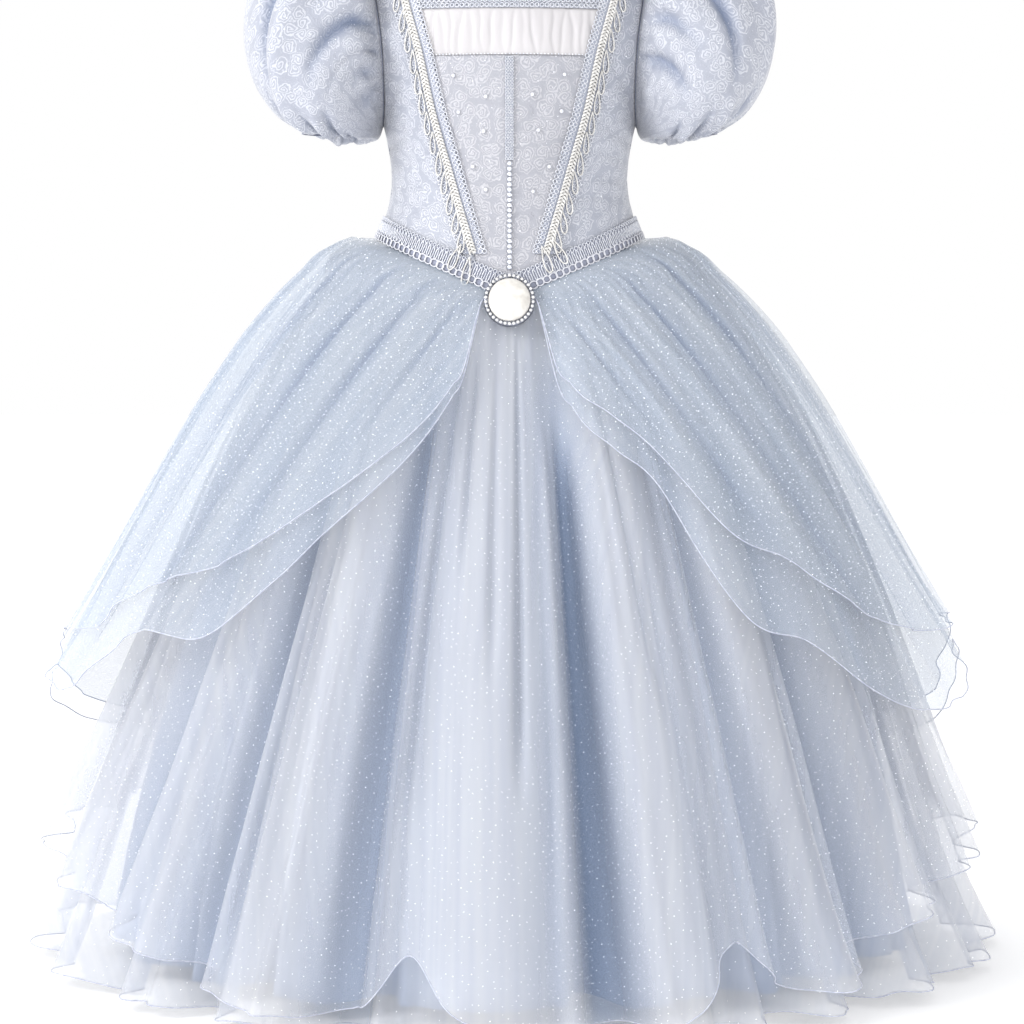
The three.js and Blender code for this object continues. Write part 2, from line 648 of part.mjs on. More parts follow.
// A turned piece of the brooch, from a profile of radius shares and heights.
function turned(name, profile, material) {
  const points = profile.map(([radius, height]) => new THREE.Vector2(radius, height));
  const geometry = new THREE.LatheGeometry(points, BROOCH.segments);
  geometry.scale(BROOCH.halfWidth, 1, BROOCH.halfHeight);
  const mesh = new THREE.Mesh(geometry, material);
  mesh.name = name;
  return mesh;
}

function brooch() {
  const group = new THREE.Group();
  const lip = 1 - SETTING.rimWidth;
  const setting = [
    [0, 0], [0.94, 0], [1, 0.8], [1, SETTING.rim - 0.6], [0.97, SETTING.rim], [lip + 0.02, SETTING.rim],
    [lip, SETTING.rim - 0.5], [lip, SETTING.floor], [0, SETTING.floor],
  ];
  const seat = SETTING.floor + SEAM_GAP;
  const dome = [[0, seat], [CABOCHON.share, seat]];
  for (let k = 0; k < 6; k += 1) {
    const angle = (k / 6) * (Math.PI / 2);
    const radius = CABOCHON.share * Math.cos(angle);
    dome.push([radius, seat + CABOCHON.edge + (CABOCHON.rise - CABOCHON.edge) * Math.sin(angle)]);
  }
  dome.push([0, seat + CABOCHON.rise]);
  group.add(turned('brooch_setting', setting, SILVER));
  group.add(turned('brooch_cabochon', dome, PEARL));
  group.position.set(0, BROOCH.y, BROOCH.z);
  group.rotation.x = (180 - BROOCH.tilt) * DEGREE;
  return group;
}

const dress = new THREE.Group();
dress.add(...skirtParts(), ...bodiceParts(), ...sleeveParts(), waistTrim(), ...frontTrims(), brooch());
export default dress;
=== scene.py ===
import math

import bmesh
import bpy
import numpy as np
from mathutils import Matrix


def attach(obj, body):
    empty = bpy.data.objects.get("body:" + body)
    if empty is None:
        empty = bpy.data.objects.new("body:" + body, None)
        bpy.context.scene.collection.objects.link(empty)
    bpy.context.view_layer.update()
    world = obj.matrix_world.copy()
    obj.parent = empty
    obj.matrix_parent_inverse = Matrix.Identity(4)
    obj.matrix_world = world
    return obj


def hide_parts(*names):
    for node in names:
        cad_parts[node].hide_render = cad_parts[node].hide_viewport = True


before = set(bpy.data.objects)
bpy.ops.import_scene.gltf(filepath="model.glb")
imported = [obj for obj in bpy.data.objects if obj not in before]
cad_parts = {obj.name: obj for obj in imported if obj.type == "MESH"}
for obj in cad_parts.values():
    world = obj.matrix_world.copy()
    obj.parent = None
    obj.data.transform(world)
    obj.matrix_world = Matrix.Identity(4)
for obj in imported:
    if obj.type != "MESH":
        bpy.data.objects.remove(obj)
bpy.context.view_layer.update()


def table(columns, rows):
    """A table's rows, each with the names of its columns."""
    names = columns.split()
    return [dict(zip(names, row)) for row in rows]


# Camera and stage. The dress is seen from the front at its waist's height, tilted down a little,
# on a white floor under even white studio light with a soft key from the upper left.
MM = 0.001
WAIST_POINT = -338
CAMERA_DISTANCE = 2600
CAMERA_SIDE = 2.2
CAMERA_PITCH = math.radians(4.2)
LENS = 101.4
SENSOR = 36
CLIP_END = 60
FLOOR_LEVEL = -922
FLOOR_SIZE = 24
KEY_LIGHTS = table("name place size power", [
    ("key", (-2.5, -1.6, 1.1), 1.1, 52),
    ("fill", (0.5, -2.6, 0.0), 2.0, 15),
    ("rim", (-0.8, 2.6, 1.2), 1.8, 18),
])
# The studio is white behind the dress and darker to the right of it and in front of it.
STUDIO_WHITE = 1.0
STUDIO_SHADE = 0.73
STUDIO_BRIGHT_WAY = (-0.75, 0.66, 0.1)
STUDIO_SHADE_AT = -0.9
STUDIO_WHITE_AT = 0.3
FLOOR_WHITE = (0.99, 0.99, 0.995)
FLOOR_GLOW = 0.2
# How many times light is followed from face to face, and through how many see-through layers.
LIGHT_STEPS = {
    "transparent_max_bounces": 7,
    "max_bounces": 2,
    "diffuse_bounces": 1,
    "glossy_bounces": 2,
    "transmission_bounces": 2,
}


def add_object(name, data):
    made = bpy.data.objects.new(name, data)
    bpy.context.scene.collection.objects.link(made)
    return made


def linear(red, green, blue):
    """A colour as seen on a screen, turned into the light values that shaders work with."""
    parts = (red, green, blue)
    return tuple(((c + 0.055) / 1.055) ** 2.4 if c > 0.04045 else c / 12.92 for c in parts) + (1.0,)


def plain_finish(name, colour, roughness, **constants):
    """A principled material with the numbers that are the same all over it."""
    finish = bpy.data.materials.new(name)
    finish.use_nodes = True
    finish.cycles.emission_sampling = "NONE"
    shader = finish.node_tree.nodes["Principled BSDF"]
    shader.inputs["Base Color"].default_value = linear(*colour)
    shader.inputs["Roughness"].default_value = roughness
    for socket, value in constants.items():
        shader.inputs[socket.replace("_", " ")].default_value = value
    return finish


def tree_node(tree, kind, preset=None, **settings):
    """A new node of a tree with its settings and the values of some of its inputs."""
    node = tree.nodes.new(kind)
    for name, value in settings.items():
        setattr(node, name, value)
    for socket, value in (preset or {}).items():
        node.inputs[socket].default_value = value
    return node


def wire(tree, *wires):
    """Joins sockets of a tree, each wire from a node's output to another node's input."""
    for source, output, target, entry in wires:
        tree.links.new(source.outputs[output], target.inputs[entry])


def set_span(node, *numbers):
    """Sets the span that a map range node reads and the one that it gives."""
    for label, number in zip(("From Min", "From Max", "To Min", "To Max"), numbers):
        node.inputs[label].default_value = number


camera_data = bpy.data.cameras.new("camera")
camera_data.lens = LENS
camera_data.sensor_width = SENSOR
camera_data.clip_end = CLIP_END
camera = add_object("camera", camera_data)
camera.location = (CAMERA_SIDE * MM, -CAMERA_DISTANCE * MM, WAIST_POINT * MM)
camera.rotation_euler = (math.pi / 2 - CAMERA_PITCH, 0, 0)
bpy.context.scene.camera = camera

world = bpy.data.worlds.new("studio")
world.use_nodes = True
studio = world.node_tree
background = studio.nodes["Background"]
background.inputs["Color"].default_value = (1, 1, 1, 1)
studio_way = tree_node(studio, "ShaderNodeTexCoord")
studio_turn = tree_node(studio, "ShaderNodeVectorMath", {1: STUDIO_BRIGHT_WAY}, operation="DOT_PRODUCT")
studio_span = tree_node(studio, "ShaderNodeMapRange")
set_span(studio_span, STUDIO_SHADE_AT, STUDIO_WHITE_AT, STUDIO_SHADE, STUDIO_WHITE)
wire(studio,
     (studio_way, "Generated", studio_turn, 0),
     (studio_turn, "Value", studio_span, "Value"),
     (studio_span, "Result", background, "Strength"))
bpy.context.scene.world = world
bpy.context.scene.view_settings.view_transform = "Standard"
for setting, count in LIGHT_STEPS.items():
    setattr(bpy.context.scene.cycles, setting, count)

for light in KEY_LIGHTS:
    lamp_data = bpy.data.lights.new(light["name"], "AREA")
    lamp_data.size = light["size"]
    lamp_data.energy = light["power"]
    lamp = add_object(light["name"], lamp_data)
    lamp.location = light["place"]
    aim = np.array([0, 0, WAIST_POINT * MM]) - np.array(light["place"])
    tilt = math.atan2(math.hypot(aim[0], aim[1]), -aim[2])
    lamp.rotation_euler = (tilt, 0, math.atan2(aim[1], aim[0]) - math.pi / 2)

floor_mesh = bpy.data.meshes.new("floor")
reach = FLOOR_SIZE / 2
corners = [(x * reach, y * reach, FLOOR_LEVEL * MM) for x, y in ((-1, -1), (1, -1), (1, 1), (-1, 1))]
floor_mesh.from_pydata(corners, [], [(0, 1, 2, 3)])
floor_white = plain_finish("floor_white", FLOOR_WHITE, 0.9, Emission_Strength=FLOOR_GLOW,
                           Emission_Color=(1, 1, 1, 1))
floor_mesh.materials.append(floor_white)
floor = add_object("floor", floor_mesh)

# Skirt lining: the opaque base skirt of pale blue satin, cut in gores and sewn into the waist seam.
# It carries the shape that the sheer skirts fall over, so the sizes of all the skirts start here.
WAIST_SIDE = -284
WAIST_HALF = 119
POINT_ROUNDING = 5
LONG_REACH = 629
SATIN = 1.5
SKIRT = table("drop lift side front back shift fold lining upper", [
    (0, 0, 119, 96.5, 80, 0, 0, 1.2, 1.2),
    (2, 5, 133, 97.5, 98, 0, 1.5, 3, 2.2),
    (8, 4, 149, 100, 118, 1, 3, 6, 4),
    (30, 1, 170, 107, 144, 6, 6, 9, 5),
    (60, 0, 194, 120, 170, 9, 9, 13, 6),
    (120, 0, 232, 150, 212, 10, 13, 18, 8),
    (200, 0, 273, 193, 258, 11, 18, 22, 10),
    (300, 0, 316, 245, 305, 11, 24, 28, 13),
    (400, 0, 352, 297, 345, 8, 28, 34, 22),
    (480, 0, 380, 336, 374, 4, 31, 42, 28),
    (545, 0, 402, 365, 398, 2, 33, 51, 34),
    (590, 0, 419, 384, 415, 3, 34, 60, 37),
    (629, 0, 437, 400, 432, 4, 36, 70, 40),
])
LINING = {"sink": 5.8, "lifted": 0.4, "reach": 616, "columns": 440, "rows": 42, "followed": 0.85}
LINING_BLUE = (0.745, 0.79, 0.875)
# Painted shade: the lining and the tulles darken towards this blue deep in their folds, fully where the
# folds reach the depth below.
SHADED_FOLD_BLUE = (0.60, 0.675, 0.80)
FULLY_SHADED_FOLD = 2.1
# The valleys between the skirts' big folds, by their turn from the middle of the front.
VALLEYS = table("turn depth", [
    (-165, 0.8), (-147, 0.95), (-128, 0.7), (-110, 0.9), (-92, 0.75), (-73, 0.85), (-55, 0.9),
    (-38, 0.75), (-18, 0.7), (11, 1.0), (28, 0.65), (45, 0.9), (62, 0.8), (80, 0.7), (98, 0.95),
    (117, 0.75), (135, 0.9), (155, 0.7), (175, 0.85),
])
VALLEY_SHARPNESS = 2.2
# Creases listed one by one: where each lies, the drops between which it runs, its half width in degrees,
# how deep it goes as a share of a full fold there, and how far it leans round on its way down.
CREASES = table("turn start end wide deep lean steep", [
    (-172, 60, 520, 1.6, 0.34, 2),
    (-156, 140, 700, 1.3, 0.42, -3),
    (-138, 40, 430, 1.8, 0.3, 1),
    (-119, 90, 700, 1.2, 0.4, 3),
    (-101, 200, 700, 2.0, 0.32, -2),
    (-84, 60, 560, 1.4, 0.38, 2),
    (-66, 120, 700, 1.1, 0.44, -2),
    (-51, 160, 720, 2.6, 0.6, -2, 3),
    (-47, 50, 380, 1.7, 0.34, 3),
    (-44, 330, 700, 1.2, 0.36, -3),
    (-37, 180, 720, 2.8, 0.75, -1, 4),
    (-32.6, 240, 700, 1.3, -0.24, -1),
    (-29, 70, 600, 1.3, 0.46, -4),
    (-24, 260, 700, 1.0, -0.3, -2),
    (-18, 90, 720, 2.7, 0.85, -1, 4),
    (-13.8, 200, 700, 1.2, -0.24, -1),
    (-12, 40, 470, 1.0, 0.42, -2),
    (-8, 30, 240, 0.9, 0.5, 1),
    (-3, 60, 330, 1.0, 0.34, 1),
    (2, 25, 420, 0.9, 0.44, -1),
    (7, 120, 700, 1.2, -0.26, 0.4),
    (11.2, 130, 720, 2.9, 1.1, 0.6, 4),
    (15.4, 200, 700, 1.2, -0.24, 0.8),
    (19, 60, 360, 1.1, 0.4, 3),
    (22, 240, 700, 1.2, 0.3, 2),
    (31, 120, 720, 2.5, 0.8, 2, 4),
    (27.4, 220, 700, 1.2, -0.22, 2),
    (39, 320, 640, 1.3, 0.3, 1),
    (45, 140, 720, 2.6, 0.7, -1, 4),
    (53, 90, 700, 1.5, 0.36, 3),
    (62, 170, 720, 2.8, 0.6, -1, 3),
    (71, 160, 700, 1.2, 0.42, -2),
    (88, 60, 480, 1.8, 0.3, 2),
    (108, 110, 700, 1.3, 0.4, -3),
    (126, 50, 540, 1.6, 0.34, 2),
    (146, 180, 700, 1.2, 0.42, 1),
    (165, 70, 460, 1.7, 0.32, -2),
])
CREASE_FADE = 70


def reader(table, key, name):
    """Reads one column of a table anywhere between its rows, on a smooth curve through them."""
    at = np.array([row[key] for row in table], float)
    value = np.array([row[name] for row in table], float)
    step = np.diff(at)
    rise = np.diff(value) / step
    slope = np.empty(len(at))
    slope[0] = rise[0]
    slope[-1] = rise[-1]
    slope[1:-1] = (rise[:-1] * step[1:] + rise[1:] * step[:-1]) / (step[1:] + step[:-1])

    def read(where):
        where = np.asarray(where, float)
        k = np.clip(np.searchsorted(at, where, side="right") - 1, 0, len(step) - 1)
        t = np.clip((where - at[k]) / step[k], 0, 1)
        start = value[k] * (1 + 2 * t) * (1 - t) ** 2 + slope[k] * step[k] * t * (1 - t) ** 2
        end = value[k + 1] * t * t * (3 - 2 * t) - slope[k + 1] * step[k] * t * t * (1 - t)
        return start + end

    return read


skirt = {name: reader(SKIRT, "drop", name) for name in SKIRT[0] if name != "drop"}


def smooth(low, high, value):
    """Rises from 0 to 1 as the value goes from low to high."""
    share = np.clip((np.asarray(value, float) - low) / (high - low), 0, 1)
    return share * share * (3 - 2 * share)


def waist_level(turn):
    x = np.hypot(WAIST_HALF * np.sin(turn), POINT_ROUNDING)
    front = WAIST_POINT + (WAIST_SIDE - WAIST_POINT) * np.minimum(x / WAIST_HALF, 1)
    return np.where(np.cos(turn) > 0, front, WAIST_SIDE)


def drop_scale(turn):
    """The skirts hang to a level hem, so a drop at the front counts for less than one at the side."""
    return (waist_level(turn) - (WAIST_SIDE - LONG_REACH)) / LONG_REACH


def lift_at(turn, drop):
    return skirt["lift"](drop) * np.where(np.cos(turn) > 0, np.sin(turn) ** 2, 1)


def skirt_points(turn, drop, out, z):
    """The skirts' crest line at a turn from the front and a drop, moved out by a distance."""
    across = skirt["side"](drop) * np.sin(turn)
    deep = -np.where(np.cos(turn) > 0, skirt["front"](drop), skirt["back"](drop)) * np.cos(turn)
    grown = 1 + out / np.hypot(across, deep)
    shifted = across * grown + skirt["shift"](drop) * np.sin(turn) ** 2
    return np.stack(np.broadcast_arrays(shifted, deep * grown, z), axis=-1)


def outward(points, ringed=False):
    """The direction out of a grid of points whose rows run down and columns run round by +X."""
    along = np.gradient(points, axis=1)
    if ringed:
        along = np.roll(points, -1, axis=1) - np.roll(points, 1, axis=1)
    normal = np.cross(np.gradient(points, axis=0), along)
    return normal / np.maximum(np.linalg.norm(normal, axis=2, keepdims=True), 1e-9)


def cloth(name, points, finish, ringed=False, thickness=0.0, folds=None):
    """A cloth on a grid of points in millimetres. Its UV map holds its own lengths in metres, and a
    second one, if folds are given, how deep in the folds each point lies, for painted shade there."""
    rows, columns = points.shape[:2]
    wide = np.concatenate([points, points[:, :1]], axis=1) if ringed else points
    steps = np.linalg.norm(np.diff(wide, axis=1), axis=2)
    across = np.concatenate([np.zeros((rows, 1)), np.cumsum(steps, axis=1)], axis=1)
    across -= across[:, [across.shape[1] // 2]]
    down = np.concatenate([[0], np.cumsum(np.linalg.norm(np.diff(points, axis=0), axis=2).mean(axis=1))])
    lengths = np.stack([across, np.broadcast_to(-down[:, None], across.shape)], axis=-1) * MM
    i, j = np.meshgrid(np.arange(rows - 1), np.arange(columns if ringed else columns - 1), indexing="ij")
    ring = [(i, j), (i + 1, j), (i + 1, j + 1), (i, j + 1)]
    faces = np.stack([a * columns + b % columns for a, b in ring], axis=-1).reshape(-1, 4)
    uv = np.stack([lengths[a, b] for a, b in ring], axis=-2).reshape(-1, 2)
    mesh = bpy.data.meshes.new(name)
    mesh.from_pydata((points.reshape(-1, 3) * MM).tolist(), [], faces.tolist())
    mesh.uv_layers.new(name="UVMap").data.foreach_set("uv", uv.astype(np.float32).ravel())
    if folds is not None:
        lain = np.stack([np.clip(folds, 0, 1).ravel()[faces.ravel()], np.zeros(faces.size)], axis=-1)
        mesh.uv_layers.new(name="Folds").data.foreach_set("uv", lain.astype(np.float32).ravel())
    mesh.shade_smooth()
    mesh.materials.append(finish)
    piece = add_object(name, mesh)
    if thickness:
        wall = piece.modifiers.new("wall", "SOLIDIFY")
        wall.thickness = thickness * MM
        wall.offset = -1
    return piece


def fitted(piece, slot, *nodes):
    """The piece rides on the dress and stands for the nodes, which are hidden. The slot is not used."""
    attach(piece, "root")
    if nodes:
        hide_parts(*nodes)
    return piece


class Nodes:
    """Short calls for building the node tree of one material."""

    def __init__(self, finish):
        self.tree = finish.node_tree
        self.shader = self.tree.nodes["Principled BSDF"]

    def add(self, kind, preset=None, **settings):
        return tree_node(self.tree, kind, preset, **settings)

    def join(self, source, target):
        self.tree.links.new(source, target)

    def maths(self, operation, *values):
        node = self.add("ShaderNodeMath", operation=operation)
        for k, value in enumerate(values):
            if isinstance(value, (int, float)):
                node.inputs[k].default_value = value
            else:
                self.join(value, node.inputs[k])
        return node.outputs[0]

    def lengths(self, across, down):
        """The cloth's own lengths, scaled to so many repeats in each metre."""
        source = self.add("ShaderNodeTexCoord")
        scaled = self.add("ShaderNodeMapping", {"Scale": (across, down, 1)})
        self.join(source.outputs["UV"], scaled.inputs["Vector"])
        return scaled.outputs["Vector"]

    def noise(self, vector, scale=1.0, detail=2.0):
        node = self.add("ShaderNodeTexNoise", {"Scale": scale, "Detail": detail})
        self.join(vector, node.inputs["Vector"])
        return node.outputs["Fac"]

    def blend(self, factor, low, high, start=0.0, end=1.0):
        """A colour that goes from one tone to another as the factor goes from start to end."""
        node = self.add("ShaderNodeValToRGB")
        node.color_ramp.elements[0].position = start
        node.color_ramp.elements[1].position = end
        node.color_ramp.elements[0].color = linear(*low)
        node.color_ramp.elements[1].color = linear(*high)
        self.join(factor, node.inputs["Fac"])
        return node.outputs["Color"]

    def painted_fold_shade(self):
        """How deep in its folds the cloth lies, which sets how much painted shade it takes."""
        split = self.add("ShaderNodeSeparateXYZ")
        self.join(self.add("ShaderNodeUVMap", uv_map="Folds").outputs["UV"], split.inputs[0])
        return split.outputs["X"]

    def mixed(self, factor, low, high):
        """A colour between two others, each of them a tone or another node's colour."""
        node = self.add("ShaderNodeMix", data_type="RGBA")
        self.join(factor, node.inputs[0])
        for socket, value in ((node.inputs[6], low), (node.inputs[7], high)):
            if isinstance(value, tuple):
                socket.default_value = linear(*value)
            else:
                self.join(value, socket)
        return node.outputs[2]

    def colour(self, value):
        self.join(value, self.shader.inputs["Base Color"])

    def glowing_glint(self, value, start, end, strength):
        """Painted glints: small glowing points where the value is near its top."""
        self.shader.inputs["Emission Color"].default_value = (1, 1, 1, 1)
        span = self.add("ShaderNodeMapRange")
        set_span(span, start, end, 0.0, strength)
        self.join(value, span.inputs["Value"])
        self.join(span.outputs["Result"], self.shader.inputs["Emission Strength"])

    def relief(self, height, strength, distance):
        node = self.add("ShaderNodeBump", {"Strength": strength, "Distance": distance * MM})
        self.join(height, node.inputs["Height"])
        self.join(node.outputs["Normal"], self.shader.inputs["Normal"])


def satin_finish(name, dark, light, roughness, fold_shade=None):
    """Satin: long floats of thread along the warp, with a soft sheen, and, if given a fold shade, painted
    shade: a deeper tone deep in its folds.
    """
    finish = plain_finish(name, light, roughness, Sheen_Weight=0.25, Sheen_Roughness=0.4)
    nodes = Nodes(finish)
    tone = nodes.blend(nodes.noise(nodes.lengths(14, 3), detail=3), dark, light, 0.35, 0.65)
    nodes.colour(nodes.mixed(nodes.painted_fold_shade(), tone, fold_shade) if fold_shade else tone)
    nodes.relief(nodes.noise(nodes.lengths(2600, 260)), 0.12, 0.15)
    return finish


def turned_by(turn, centre):
    """How many degrees a turn lies past a centre, the short way round."""
    return (turn - centre + 180) % 360 - 180


def bell(away, width):
    """Falls smoothly from 1 in the middle to nothing away from it."""
    return np.exp(-((away / width) ** 2))


def uneven_turns(random, count, first=0.1, last=0.9):
    """Angles round a circle, unevenly spaced, one in each of so many equal shares."""
    for k in range(count):
        yield (k + random.uniform(first, last)) * 360 / count


def hollow_at(degrees):
    """How far the big folds go in at a turn, as a share of a full fold's depth."""
    ordered = sorted(VALLEYS, key=lambda valley: valley["turn"])
    ends = ordered + [{"turn": ordered[0]["turn"] + 360, "depth": ordered[0]["depth"]}]
    turns = np.array([valley["turn"] for valley in ends], float)
    depths = np.array([valley["depth"] for valley in ends], float)
    wrapped = (degrees - turns[0]) % 360 + turns[0]
    k = np.clip(np.searchsorted(turns, wrapped, side="right") - 1, 0, len(turns) - 2)
    share = (wrapped - turns[k]) / (turns[k + 1] - turns[k])
    hollow = np.abs(np.cos(share * math.pi)) ** VALLEY_SHARPNESS
    return hollow * (depths[k] + (depths[k + 1] - depths[k]) * share), np.sin(share * math.pi)


def creased(degrees, drop, creases, reach):
    """The sum of creases at each point, each fading in and out along its length."""
    total = np.zeros(np.broadcast(degrees, drop).shape)
    for crease in creases:
        centre = crease["turn"] + crease["lean"] * (drop - crease["start"]) / reach
        apart = np.abs(turned_by(degrees, centre)) / (crease["wide"] * (0.45 + 0.55 * drop / reach))
        across = np.exp(-(apart ** crease.get("steep", 2)))
        along = smooth(crease["start"] - CREASE_FADE / 2, crease["start"] + CREASE_FADE, drop)
        along = along * (1 - smooth(crease["end"] - CREASE_FADE, crease["end"] + CREASE_FADE / 2, drop))
        total += crease["deep"] * across * along
    return total


lining_degrees = np.linspace(-180, 180, LINING["columns"], endpoint=False)[None, :]
lining_turns = np.radians(lining_degrees)
lining_drops = np.linspace(0, 1, LINING["rows"])[:, None] ** 1.5 * LINING["reach"]
lining_folds = hollow_at(lining_degrees)[0] + creased(lining_degrees, lining_drops, CREASES, LONG_REACH)
lining_wave = -LINING["followed"] * skirt["fold"](lining_drops) * lining_folds
lining_z = waist_level(lining_turns) - LINING["sink"] - lining_drops * drop_scale(lining_turns)
lining_z = lining_z + LINING["lifted"] * lift_at(lining_turns, lining_drops)
lining_out = lining_wave - skirt["lining"](lining_drops)
lining_points = skirt_points(lining_turns, lining_drops, lining_out, lining_z)
# The lining's satin takes painted shade deep in its folds.
lining_satin = satin_finish("lining_satin", (0.71, 0.76, 0.855), LINING_BLUE, 0.5, SHADED_FOLD_BLUE)
lining = cloth("skirt_lining_satin", lining_points, lining_satin, True, SATIN, lining_folds / FULLY_SHADED_FOLD)
fitted(lining, "lining_satin", "skirt_lining")

# Long tulle: the lower of the two full sheer skirts, gathered into the waist seam, with a rolled hem.
# Its big folds are those of the solid, and finer creases and waist gathers lie over them.
WAIST_GATHERS = {"count": 120, "wide": 0.9, "deep": 3.0, "short": 30, "long": 170}
FINE_PLEATS = {"count": 40, "wide": 1.0, "deep": 0.16, "shortest": 160}
HEM_FLUTES = {"count": 46, "wide": 2.1, "out": 4.6, "rise": 4.5, "reach": 85}
HEM_RIPPLE = 7
LONG = {"sink": 4.0, "lifted": 0.6, "upper": 0.0, "seed": 3}
FULL_COLUMNS = 720
FULL_ROWS = 64
LONG_TONES = ((0.86, 0.875, 0.92), (0.915, 0.925, 0.955))
LONG_ALPHA = 0.36
HEM_THICKNESS = 1.1
GLITTER_SIZE = 0.8
LONG_GLITTER = {"called": "glitter", "spacing": 0.007, "density": 9000, "size": GLITTER_SIZE, "seed": 11}
ROLL_SIDES = 6
FLECK_SIDES = 4
FLECK_TILT = 0.5
FLECK_SIZES = (0.6, 1.2)


def random_creases(random, sizes, reach):
    """Fine pleats, unevenly spaced round the skirt, of unlike lengths and depths."""
    made = []
    for k in range(sizes["count"]):
        start = random.uniform(-60, reach * 0.55)
        made.append({
            "turn": (k + random.uniform(0.1, 0.9)) * 360 / sizes["count"] - 180,
            "start": start,
            "end": start + random.uniform(sizes["shortest"], reach),
            "wide": sizes["wide"] * random.uniform(0.6, 1.5),
            "deep": sizes["deep"] * random.uniform(0.3, 1.0) * random.choice([-0.7, 1.0]),
            "lean": random.uniform(-3, 3),
        })
    return made


def gathered(degrees, drop, random, sizes):
    """The small gathers where the cloth is drawn into the waist seam. They run out further down."""
    total = np.zeros(np.broadcast(degrees, drop).shape)
    for around in uneven_turns(random, sizes["count"], 0.0, 1.0):
        length = random.uniform(sizes["short"], sizes["long"])
        height = sizes["deep"] * random.uniform(0.5, 1.2) * smooth(0, 9, drop) * bell(drop, length)
        total += height * bell(turned_by(degrees, around - 180), sizes["wide"])
    return total - total.mean(axis=1, keepdims=True)


def hem_flutes(degrees, drop, hem_drop, random, sizes):
    """How far the loose edge waves out and up in its last stretch, as two arrays."""
    reached = smooth(-sizes["reach"], 0, drop - hem_drop)
    out = np.zeros(np.broadcast(degrees, drop).shape)
    rise = np.zeros(out.shape)
    for around in uneven_turns(random, sizes["count"]):
        wave = bell(turned_by(degrees, around - 180), sizes["wide"] * random.uniform(0.7, 1.4))
        out += sizes["out"] * random.uniform(-1.0, 1.0) * wave
        rise += sizes["rise"] * random.uniform(-0.6, 1.0) * wave
    return out * reached, rise * reached ** 2


def full_skirt(layer, reach_at):
    """The grid of points of one of the two full sheer skirts."""
    random = np.random.default_rng(layer["seed"])
    degrees = np.linspace(-180, 180, FULL_COLUMNS, endpoint=False)[None, :]
    share = np.linspace(0, 1, FULL_ROWS)[:, None]
    reach = reach_at(degrees)
    drop = (0.25 * share + 0.75 * share ** 1.7) * reach
    turn = np.radians(degrees)
    hollow, ripple = hollow_at(degrees)
    finer = creased(degrees, drop, CREASES, LONG_REACH)
    finer += creased(degrees, drop, random_creases(random, FINE_PLEATS, LONG_REACH), LONG_REACH)
    flute, rise = hem_flutes(degrees, drop, reach, random, HEM_FLUTES)
    depth = hollow + finer
    out = layer["upper"] * skirt["upper"](drop) - skirt["fold"](drop) * depth
    out = out + gathered(degrees, drop, random, WAIST_GATHERS) + flute
    z = waist_level(turn) - layer["sink"] - drop * drop_scale(turn)
    z = z + layer["lifted"] * lift_at(turn, drop)
    z = z + HEM_RIPPLE * ripple * smooth(-160, 0, drop - reach) + rise
    # Its second part is for the painted shade: how deep in its folds each point lies.
    return skirt_points(turn, drop, out, z), depth * smooth(0, 120, drop) / FULLY_SHADED_FOLD


def toned(name, dark, light, roughness, scale, **constants):
    """A finish whose tone wanders a little between two colours over the piece."""
    finish = plain_finish(name, light, roughness, **constants)
    nodes = Nodes(finish)
    spot = nodes.add("ShaderNodeTexCoord").outputs["Object"]
    nodes.colour(nodes.blend(nodes.noise(spot, scale), dark, light, 0.32, 0.64))
    return finish


def tulle_finish(name, dark, light, alpha):
    """Sheer net: mostly see-through, with faint streaks of warp, and painted shade: a deeper tone deep in
    its folds.
    """
    finish = plain_finish(name, light, 0.55, Alpha=alpha, Sheen_Weight=0.35, Sheen_Roughness=0.35)
    nodes = Nodes(finish)
    streaks = nodes.blend(nodes.noise(nodes.lengths(110, 5), detail=1), dark, light, 0.3, 0.7)
    nodes.colour(nodes.mixed(nodes.painted_fold_shade(), streaks, SHADED_FOLD_BLUE))
    return finish


def node_tree(name, inputs):
    """An empty geometry tree with named inputs, and its first and last nodes."""
    tree = bpy.data.node_groups.new(name, "GeometryNodeTree")
    for label, kind in inputs.items():
        tree.interface.new_socket(label, in_out="INPUT", socket_type="NodeSocket" + kind)
    tree.interface.new_socket("Made", in_out="OUTPUT", socket_type="NodeSocketGeometry")
    return tree, tree.nodes.new("NodeGroupInput"), tree.nodes.new("NodeGroupOutput")


def finish_tree(tree, start, end, last, output):
    """Ends a tree in real faces with their finish on them."""
    real = tree_node(tree, "GeometryNodeRealizeInstances")
    painted = tree_node(tree, "GeometryNodeSetMaterial")
    wire(tree,
         (last, output, real, "Geometry"),
         (real, "Geometry", painted, "Geometry"),
         (start, "Finish", painted, "Material"),
         (painted, "Geometry", end, "Made"))
    return tree


def rolled_edge_tree():
    """A thin round roll of cloth along an edge."""
    inputs = {"Edge": "Geometry", "Thickness": "Float", "Finish": "Material"}
    tree, start, end = node_tree("rolled edge", inputs)
    line = tree_node(tree, "GeometryNodeMeshToCurve")
    section = tree_node(tree, "GeometryNodeCurvePrimitiveCircle", {"Resolution": ROLL_SIDES})
    half = tree_node(tree, "ShaderNodeMath", {1: 0.5}, operation="MULTIPLY")
    roll = tree_node(tree, "GeometryNodeCurveToMesh", {"Fill Caps": True})
    shade = tree_node(tree, "GeometryNodeSetShadeSmooth")
    wire(tree,
         (start, "Edge", line, "Mesh"),
         (start, "Thickness", half, 0),
         (half, 0, section, "Radius"),
         (line, "Curve", roll, "Curve"),
         (section, "Curve", roll, "Profile Curve"),
         (roll, "Mesh", shade, "Geometry"))
    return finish_tree(tree, start, end, shade, "Geometry")


